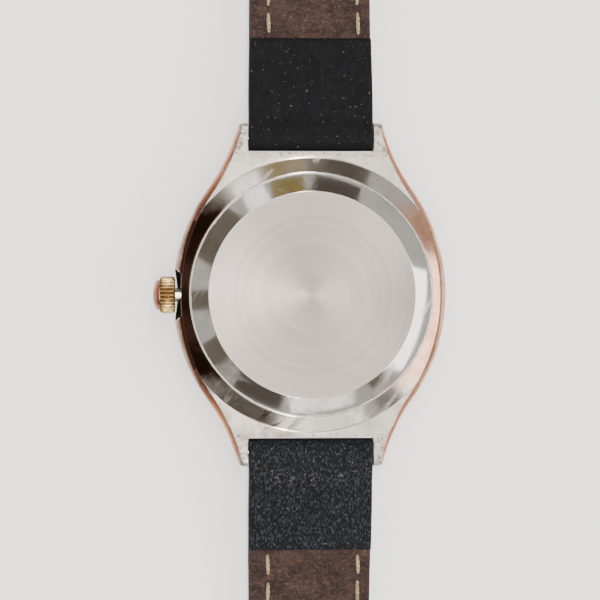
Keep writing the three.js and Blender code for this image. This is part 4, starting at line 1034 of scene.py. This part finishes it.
def halfWidth(side, s):
    z = strapSize
    total = halves[side]["total"]
    wide = (z["width"] + (z["tipWidth"] - z["width"]) * max(0.0, s) / total) / 2
    if side == -1 and s > total - 9:
        low, high = 0.0, 1.0
        for _ in range(24):
            t = (low + high) / 2
            if bezier((8.0, -9.0), (6.0, -2.0), (0.0, 0.0), t)[1] < s - total:
                low = t
            else:
                high = t
        wide = bezier((8.0, -9.0), (6.0, -2.0), (0.0, 0.0), low)[0]
    elif side == -1 and s > total - 14:
        wide = mix(wide, 8.0, (s - total + 14) / 5)
    return max(wide, 0.25)


def leatherHeights(side, s):
    z = strapSize
    low = mix(-z["rootHalf"], z["outside"], smooth01(s / z["root"]))
    high = mix(z["rootHalf"] + 0.05, 1.38, smooth01(s / z["foldEnd"]))
    if s > z["foldEnd"]:
        high = z["leatherTop"]
    elif s > z["foldEnd"] - 0.35:
        high -= 0.12 * smooth01((s - z["foldEnd"] + 0.35) / 0.35)
    if s < 3.2:
        turnUnder = z["loop"] if s > 0 else math.sqrt(max(z["loop"] ** 2 - s * s, 0.01))
        share = smooth01(1 - s / 3.2) if s > 0 else 1.0
        low, high = mix(low, -turnUnder, share), mix(high, turnUnder, share)
    if side == 1:
        back = s - halves[1]["total"]
        if abs(back) < z["buckleLoop"]:
            bow = math.sqrt(z["buckleLoop"] ** 2 - back ** 2)
            low, high = min(low, -bow) if back < 0 else -max(bow, 0.08), max(high,
                    bow) if back < 0 else max(bow, 0.08)
    return low, high


def sectionRing(side, s, wide, low, high, corner, crown, relief):
    n = strapSize["across"]
    corner = min(corner, (high - low) * 0.48, wide * 0.8)
    flat = wide - corner
    ring = []
    for k in range(n + 1):
        x = mix(-flat, flat, k / n)
        ring.append((x, high + crown * (1 - (x / wide) ** 4) + relief(x, s)))
    for k in range(1, 4):
        a = math.pi / 2 * (1 - k / 4)
        ring.append((flat + corner * math.cos(a), high - corner + corner * math.sin(a) + relief(flat, s)))
    for k in range(1, 4):
        a = -math.pi / 2 * k / 4
        ring.append((flat + corner * math.cos(a), low + corner + corner * math.sin(a)))
    for k in range(n + 1):
        ring.append((mix(flat, -flat, k / n), low))
    for k in range(1, 4):
        a = -math.pi / 2 * (1 - k / 4)
        ring.append((-flat - corner * math.cos(a), low + corner + corner * math.sin(a)))
    for k in range(1, 4):
        a = math.pi / 2 * k / 4
        ring.append((-flat - corner * math.cos(a), high - corner + corner * math.sin(a) + relief(-flat, s)))
    wander = 0.10 * noise.noise(Vector((s * 0.16, halves[side]["seed"], 0.5)))
    return [onStrap(side, s, x + wander * x / wide, z) for x, z in ring]


def foldRelief(side):
    seed = halves[side]["seed"]

    def relief(x, s):
        if s > strapSize["foldEnd"]:
            return 0.0
        # soft hollows, a crease where the leather comes off the bar, and fine ridges along the half
        depth = 0.055 * noise.noise(Vector((x * 0.22, s * 0.5, seed)))
        ridges = 0.028 * noise.noise(Vector((x * 2.6, s * 0.28, seed + 3)))
        crease = 0.0
        for at, deep, across in ((3.4, 0.16, 0.55), (5.6, 0.07, 0.5),
                                 (8.9, 0.04, 0.5)) if side == -1 else ((2.6, 0.07, 0.5), (7.0, 0.03, 0.6)):
            bend = at + 0.35 * noise.noise(Vector((x * 0.3, at, seed)))
            crease -= deep * math.exp(-((s - bend) / across) ** 2)
        edge = 1 - math.exp(-((halfWidth(side, s) - abs(x)) / 0.8) ** 2)
        return (depth + ridges) * smooth01((s + 1.9) / 2) + crease * (0.45 + 0.55 * edge)

    return relief


def liningRelief(side):
    seed = halves[side]["seed"] + 20

    def relief(x, s):
        soft = 0.05 * noise.noise(Vector((x * 0.3, s * 0.2, seed)))
        seam = 0.0
        wide = halfWidth(side, s)
        for row in (stitchSize["left"] - wide, wide - stitchSize["right"]):
            seam -= 0.09 * math.exp(-((x - row) / 0.45) ** 2)
        return soft + seam

    return relief


def stationsOf(start, end, marks=()):
    count = max(2, int((end - start) / strapSize["station"]))
    places = {round(mix(start, end, k / count), 4) for k in range(count + 1)}
    for mark in marks:
        if start < mark < end:
            places |= {round(mark + d, 4) for d in (-0.3, -0.12, -0.01, 0.01, 0.15)}
    if start < 0:
        places |= {-1.88, -1.8, -1.65, -1.4, -1.1, -0.75, -0.4, 0.0}
    return sorted(places)


def makeLeather(name, side, start, end):
    z = strapSize
    relief = foldRelief(side)
    marks = [z["foldEnd"]]
    total = halves[side]["total"]
    if side == 1 and end > total:
        marks += [total - 1.4, total - 0.8, total, total + 0.7, total + 1.1]
    if side == -1 and end >= total:
        marks += [total - 6, total - 3, total - 1.5, total - 0.7, total - 0.35]
    rows = []
    for s in stationsOf(start, end, marks):
        low, high = leatherHeights(side, s)
        rows.append(sectionRing(side, s, halfWidth(side, s), low, high, 0.42, 0.0, relief))
    verts, faces = cappedGrid(rows)
    piece = meshPiece(name, verts, faces, [finishes["leather"]])
    if start < 0:
        barAt = (-12, side * z["barDistance"], z["barHeight"])
        cutWith(piece, rodPiece("cutter", [(1.02, 0), (1.02, 24)], barAt, (1, 0, 0), steps=40))
    return piece


def makeLining(name, side, start, end):
    z = strapSize
    relief = liningRelief(side)
    total = halves[side]["total"]
    rows = []
    for s in stationsOf(start, end,
                        [total - 6, total - 3, total - 1.5,
                         total - 0.7] if side == -1 and end >= total - 1 else ()):
        wide = max(halfWidth(side, s) - z["liningInset"], 0.2)
        rows.append(sectionRing(side, s, wide, z["leatherTop"] + 0.02, z["wrist"], 0.22, 0.03, relief))
    verts, faces = cappedGrid(rows)
    return meshPiece(name, verts, faces, [finishes["lining"]])


def makeStitches(name, side, start, end):
    z, t = strapSize, stitchSize
    shake = random.Random(halves[side]["seed"])
    made = []
    count = int((end - start) / t["pitch"])
    for k in range(count):
        s = start + t["pitch"] * (k + 0.5)
        wide = halfWidth(side, s)
        for row in (t["left"] - wide, wide - t["right"]):
            slant = shake.uniform(-0.12, 0.16)
            length = t["length"] * shake.uniform(0.9, 1.06)
            for face, level in (("wrist", z["wrist"] + 0.02), ("outside", z["outside"] + 0.13)):
                if face == "wrist" and s - length / 2 < z["foldEnd"] + 0.4:
                    continue
                sign = 1 if face == "wrist" else -1
                rows = []
                for along, fat, dip in ((-0.5, 0.35, 0.3), (-0.4, 0.7, 0.1), (-0.2, 0.95, 0.0),
                                        (0.0, 1.05, -0.03), (0.2, 0.95, 0.0), (0.4, 0.7, 0.1),
                                        (0.5, 0.35, 0.3)):
                    rows.append([
                        onStrap(side, s + along * length,
                                row + slant * along * 2 + t["radius"] * 1.1 * fat * math.cos(a),
                                level - sign * dip + t["radius"] * fat * math.sin(a))
                        for a in [2 * math.pi * q / 8 for q in range(8)]
                    ])
                verts, faces = cappedGrid(rows)
                made.append((verts, faces))
    verts, faces = [], []
    for some, rings in made:
        faces += [tuple(len(verts) + v for v in f) for f in rings]
        verts += some
    return meshPiece(name, verts, faces, [finishes["thread"]])


def bendWith(piece, a, b, joint, side, slot, *replaced):
    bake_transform(piece)
    if replaced:
        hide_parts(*replaced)


def punchHoles(pieces):
    total = halves[-1]["total"]
    for k in range(7):
        spot = onStrap(-1, total - 12 - 6 * k, 0, 0)
        for piece in pieces:
            cutWith(piece, rodPiece("cutter", [(0.9, -4), (0.9, 4)], spot, (0, 0, 1), steps=24))


shortTotal, longTotal = halves[1]["total"], halves[-1]["total"]
foldEnd, seamAt = strapSize["foldEnd"], 40.0

shortLeather = makeLeather("strap12Leather", 1, -1.88, shortTotal + 1.44)
notch = jointPoint("buckle_frame_hinge")
cutWith(shortLeather, blockTool((-1.6, notch.y - 2.6, -2), (1.6, notch.y + 4, 12)))
cutWith(shortLeather,
        rodPiece("cutter", [(0.8, 0), (0.8, 24)], (-12, notch.y, notch.z), (1, 0, 0), steps=32))
sharpCorners(shortLeather, 40)
shortLining = makeLining("strap12Lining", 1, foldEnd - 0.2, shortTotal - 4)
shortStitches = makeStitches("strap12Stitches", 1, 2.0, shortTotal - 5)
for piece, slot, replaced in ((shortLeather, "black_leather", ("strap_12_root", "strap_12_tip_leather")),
                              (shortLining, "brown_lining", ("strap_12_tip_lining",)),
                              (shortStitches, "brown_lining", ())):
    bendWith(piece, "strap_12_root", "strap_12_tip", "strap_12_flex", 1, slot, *replaced)

nearLeather = makeLeather("strap6NearLeather", -1, -1.88, seamAt)
nearLining = makeLining("strap6NearLining", -1, foldEnd - 0.2, seamAt)
nearStitches = makeStitches("strap6NearStitches", -1, 2.0, seamAt)
farLeather = makeLeather("strap6FarLeather", -1, seamAt, longTotal)
farLining = makeLining("strap6FarLining", -1, seamAt, longTotal - 0.35)
farStitches = makeStitches("strap6FarStitches", -1, seamAt, longTotal - 9)
punchHoles([farLeather, farLining])
for piece in (nearLeather, farLeather, nearLining, farLining, shortLining):
    sharpCorners(piece, 40)
for piece, slot, replaced in ((nearLeather, "black_leather", ("strap_6_root", "strap_6_mid_leather")),
                              (nearLining, "brown_lining", ("strap_6_mid_lining",)),
                              (nearStitches, "brown_lining", ())):
    bendWith(piece, "strap_6_root", "strap_6_mid", "strap_6_flex_near", -1, slot, *replaced)
for piece, slot, replaced in ((farLeather, "black_leather", ("strap_6_tip_leather",)),
                              (farLining, "brown_lining", ("strap_6_tip_lining",)),
                              (farStitches, "brown_lining", ())):
    bendWith(piece, "strap_6_mid", "strap_6_tip", "strap_6_flex_far", -1, slot, *replaced)
print("wristwatch: strap halves")


keeperSize = {"width": 4.9, "band": 0.76, "top": 1.8, "bottom": -4.1, "side": 0.6, "corner": 1.0}


def makeKeeper(name, s):
    k = keeperSize
    wide = halfWidth(1, s - 2.5) + k["side"]
    path = rounded([(-wide, k["bottom"]), (wide, k["bottom"]), (wide, k["top"]), (-wide, k["top"])],
                   k["corner"], 6, True)
    section = rounded([(-k["width"] / 2, -k["band"] / 2), (k["width"] / 2, -k["band"] / 2),
                       (k["width"] / 2, k["band"] / 2), (-k["width"] / 2, k["band"] / 2)], 0.22, 3, True)
    rows = []
    for i, point in enumerate(path):
        along = path[(i + 1) % len(path)] - path[i - 1]
        outward = Vector((along.y, -along.x)).normalized()
        rows.append([onStrap(1, s + u, point.x + outward.x * v, point.y + outward.y * v) for u,
                     v in section])
    verts, faces = gridFaces(rows, True, True)
    piece = meshPiece(name, verts, faces, [finishes["leather"]], weld=1e-4)
    sharpCorners(piece, 40)
    return piece


fit(makeKeeper("keeperFixed", 64.0), "strap_12_tip", "black_leather", "keeper_fixed")
fit(makeKeeper("keeperFree", 50.0), "keeper_free", "black_leather", "keeper_free")


buckleSize = {"slope": -15.81, "side": 9.1, "front": 7.85, "back": -1.15, "arm": 1.55, "thick": 1.86,
              "corner": 2.6,
              "tongue": 2.3, "tongueThick": 0.82, "tip": 9.3, "level": -1.56}


def onBuckle(x, y, z):
    turn = math.radians(buckleSize["slope"])
    hinge = jointPoint("buckle_frame_hinge")
    return Vector((x, hinge.y + y * math.cos(turn) - z * math.sin(turn),
                   hinge.z + y * math.sin(turn) + z * math.cos(turn)))


def makeBuckleFrame():
    b = buckleSize
    path = rounded([(-b["side"] + 0.15, b["back"]), (-b["side"], 2.0), (-b["side"], b["front"]),
                    (b["side"], b["front"]),
                    (b["side"], 2.0), (b["side"] - 0.15, b["back"])], b["corner"], 8)
    rows = []
    for i, point in enumerate(path):
        along = path[min(i + 1, len(path) - 1)] - path[max(i - 1, 0)]
        outward = Vector((-along.y, along.x)).normalized()
        arm = b["arm"] * mix(1.0, 1.22, smooth01((point.y - 4) / 4))
        section = rounded([(-arm / 2, -b["thick"] / 2), (arm / 2, -b["thick"] / 2),
                           (arm / 2, b["thick"] / 2), (-arm / 2, b["thick"] / 2)], 0.55, 4, True)
        rows.append([onBuckle(point.x + outward.x * u, point.y + outward.y * u, v) for u, v in section])
    verts, faces = cappedGrid(rows)
    piece = meshPiece("buckleFrame", verts, faces, [finishes["steel"]])
    sharpCorners(piece, 50)
    return piece


def makeTongue():
    b = buckleSize
    ring = [(0.92 * math.cos(a), 0.92 * math.sin(a),
             0.5) for a in [math.radians(200 - 290 * k / 22) for k in range(23)]]
    prong = [(mix(0.9, 5.6, k / 5), mix(-0.98, b["level"], smooth01(k / 5)),
              mix(0.55, b["tongueThick"], k / 5)) for k in range(1, 6)]
    prong += [(mix(5.6, b["tip"], k / 6), b["level"],
               b["tongueThick"] * (1 if k < 5 else 0.75 if k < 6 else 0.3)) for k in range(1, 7)]
    path = ring + prong
    rows = []
    for i, (y, z, thick) in enumerate(path):
        ahead, behind = path[min(i + 1, len(path) - 1)], path[max(i - 1, 0)]
        along = Vector((ahead[0] - behind[0], ahead[1] - behind[1])).normalized()
        wide = b["tongue"] / 2 * (1 if y < 6 else mix(1, 0.72, smooth01((y - 6) / 3.4)))
        section = rounded([(-wide, -thick / 2), (wide, -thick / 2), (wide, thick / 2), (-wide, thick / 2)],
                          0.2, 3, True)
        rows.append([onBuckle(u, y - along.y * v, z + along.x * v) for u, v in section])
    verts, faces = cappedGrid(rows)
    piece = meshPiece("buckleTongue", verts, faces, [finishes["steel"]])
    sharpCorners(piece, 50)
    return piece


fit(makeBuckleFrame(), "buckle_frame", "polished_steel", "buckle_frame")
barProfile = [(0.35, -9.05), (0.6, -8.95), (0.6, 8.95), (0.35, 9.05)]
fit(rodPiece("buckleBar", barProfile, notch, (1, 0, 0), [finishes["steel"]]), "buckle_frame",
    "polished_steel", "buckle_bar")
fit(makeTongue(), "buckle_tongue", "polished_steel", "buckle_tongue")
print("wristwatch: keepers and buckle")


# the set: pale floor, soft lights, and dark and bright cards for the polished rings to reflect
def makeFloor():
    made, tree, shader, place = newMaterial("pale table")
    grain = noiseOf(tree, place, 700.0, 4.0)
    broad = noiseOf(tree, place, 9.0, 2.0)
    tree.links.new(blendColours(tree, broad, colour(240, 239, 235), colour(246, 245, 242)),
                   shader.inputs["Base Color"])
    shader.inputs["Roughness"].default_value = 0.9
    shader.inputs["Emission Color"].default_value = (1.0, 0.99, 0.97, 1)
    shader.inputs["Emission Strength"].default_value = 0.9
    addBump(tree, shader, grain, 0.08, 0.05)
    floor = meshPiece("floor",
                      [(-900, -900, -0.05), (900, -900, -0.05), (900, 900, -0.05), (-900, 900, -0.05)],
                      [(0, 1, 2, 3)], [made])


lighting = {
    "world": (1.0, 0.985, 0.96, 1.0), "worldStrength": 0.8,
    "lamps": [
        # name, azimuth from +X, elevation, distance, width, height, watts, colour
        ("window", -14, 44, 0.80, 0.62, 0.36, 3.2, (0.96, 0.98, 1.0)),
        ("strip", 87, 68, 0.75, 0.05, 0.40, 1.9, (1.0, 0.93, 0.86)),
        ("lowStrip", -93, 68, 0.75, 0.05, 0.40, 1.9, (1.0, 0.93, 0.86)),
        ("overhead", 150, 72, 0.90, 0.50, 0.50, 1.3, (1.0, 0.99, 0.97)),
    ],
    "cards": [
        # azimuth, elevation, width, height, kind
        (98, 43, 0.085, 0.12, "olive"), (116, 43, 0.06, 0.12, "bright"), (146, 43, 0.15, 0.14, "grey"),
        (184, 44, 0.05, 0.16, "grey"), (214, 43, 0.07, 0.14, "grey"), (246, 43, 0.13, 0.13, "dark"),
        (280, 43, 0.16, 0.13, "bright"), (311, 43, 0.05, 0.12, "grey"), (72, 43, 0.12, 0.13, "dark"),
    ],
    "kinds": {
        "dark": (colour(52, 50, 50), colour(74, 68, 62), 0.0),
        "grey": (colour(96, 91, 83), colour(80, 75, 68), 0.0),
        "olive": (colour(140, 124, 62), colour(96, 88, 58), 0.0),
        "bright": (colour(235, 235, 235), colour(225, 225, 225), 1.1),
    },
    "cardDistance": 0.34,
}


def placeAround(azimuth, elevation, distance):
    a, e = math.radians(azimuth), math.radians(elevation)
    return Vector((math.cos(a) * math.cos(e), math.sin(a) * math.cos(e), math.sin(e))) * distance


def makeLights():
    world = bpy.data.worlds.new("studio")
    world.use_nodes = True
    world.node_tree.nodes["Background"].inputs["Color"].default_value = lighting["world"]
    world.node_tree.nodes["Background"].inputs["Strength"].default_value = lighting["worldStrength"]
    bpy.context.scene.world = world
    for name, azimuth, elevation, distance, width, height, watts, tint in lighting["lamps"]:
        lamp = bpy.data.lights.new(name, "AREA")
        lamp.shape, lamp.size, lamp.size_y = "RECTANGLE", width, height
        lamp.energy, lamp.color = watts, tint
        held = bpy.data.objects.new(name, lamp)
        held.location = placeAround(azimuth, elevation, distance)
        held.rotation_euler = held.location.to_track_quat("Z", "Y").to_euler()
        bpy.context.scene.collection.objects.link(held)


def makeCards():
    paints = {}
    for kind, (first, second, glow) in lighting["kinds"].items():
        made, tree, shader, place = newMaterial(kind + " card")
        tree.links.new(blendColours(tree, noiseOf(tree, place, 14.0), first, second),
                       shader.inputs["Base Color"])
        shader.inputs["Roughness"].default_value = 0.9
        shader.inputs["Emission Color"].default_value = (1, 1, 1, 1)
        shader.inputs["Emission Strength"].default_value = glow
        paints[kind] = made
    for k, (azimuth, elevation, width, height, kind) in enumerate(lighting["cards"]):
        middle = placeAround(azimuth, elevation, lighting["cardDistance"])
        across = Vector((0, 0, 1)).cross(middle).normalized() * width / 2
        up = middle.cross(across).normalized() * height / 2
        corners = [(middle + across * a + up * b) / mm for a, b in ((-1, -1), (1, -1), (1, 1), (-1, 1))]
        card = meshPiece("card" + str(k), corners, [(0, 1, 2, 3)], [paints[kind]])
        card.visible_shadow = False
        card.visible_diffuse = False
        card.visible_camera = False


cameraSize = {"target": (-1.63, -0.72, 8.4), "distance": 420.0, "lens": 178.0, "leanLeft": 4.0,
              "leanUp": 1.0}


def makeCamera():
    c = cameraSize
    back = Vector((-math.tan(math.radians(c["leanLeft"])), math.tan(math.radians(c["leanUp"])),
                   1)).normalized()
    right = Vector((0, 1, 0)).cross(back).normalized()
    up = back.cross(right)
    lens = bpy.data.cameras.new("camera")
    lens.lens, lens.sensor_width, lens.dof.use_dof = c["lens"], 36.0, False
    lens.clip_start = 0.01
    camera = bpy.data.objects.new("camera", lens)
    spot = (Vector(c["target"]) + back * c["distance"]) * mm
    turned = Matrix((right, up, back)).transposed()
    camera.matrix_world = Matrix.Translation(spot) @ turned.to_4x4()
    bpy.context.scene.collection.objects.link(camera)
    bpy.context.scene.camera = camera


makeFloor()
makeLights()
makeCards()
makeCamera()
print("wristwatch: floor, lights and camera")
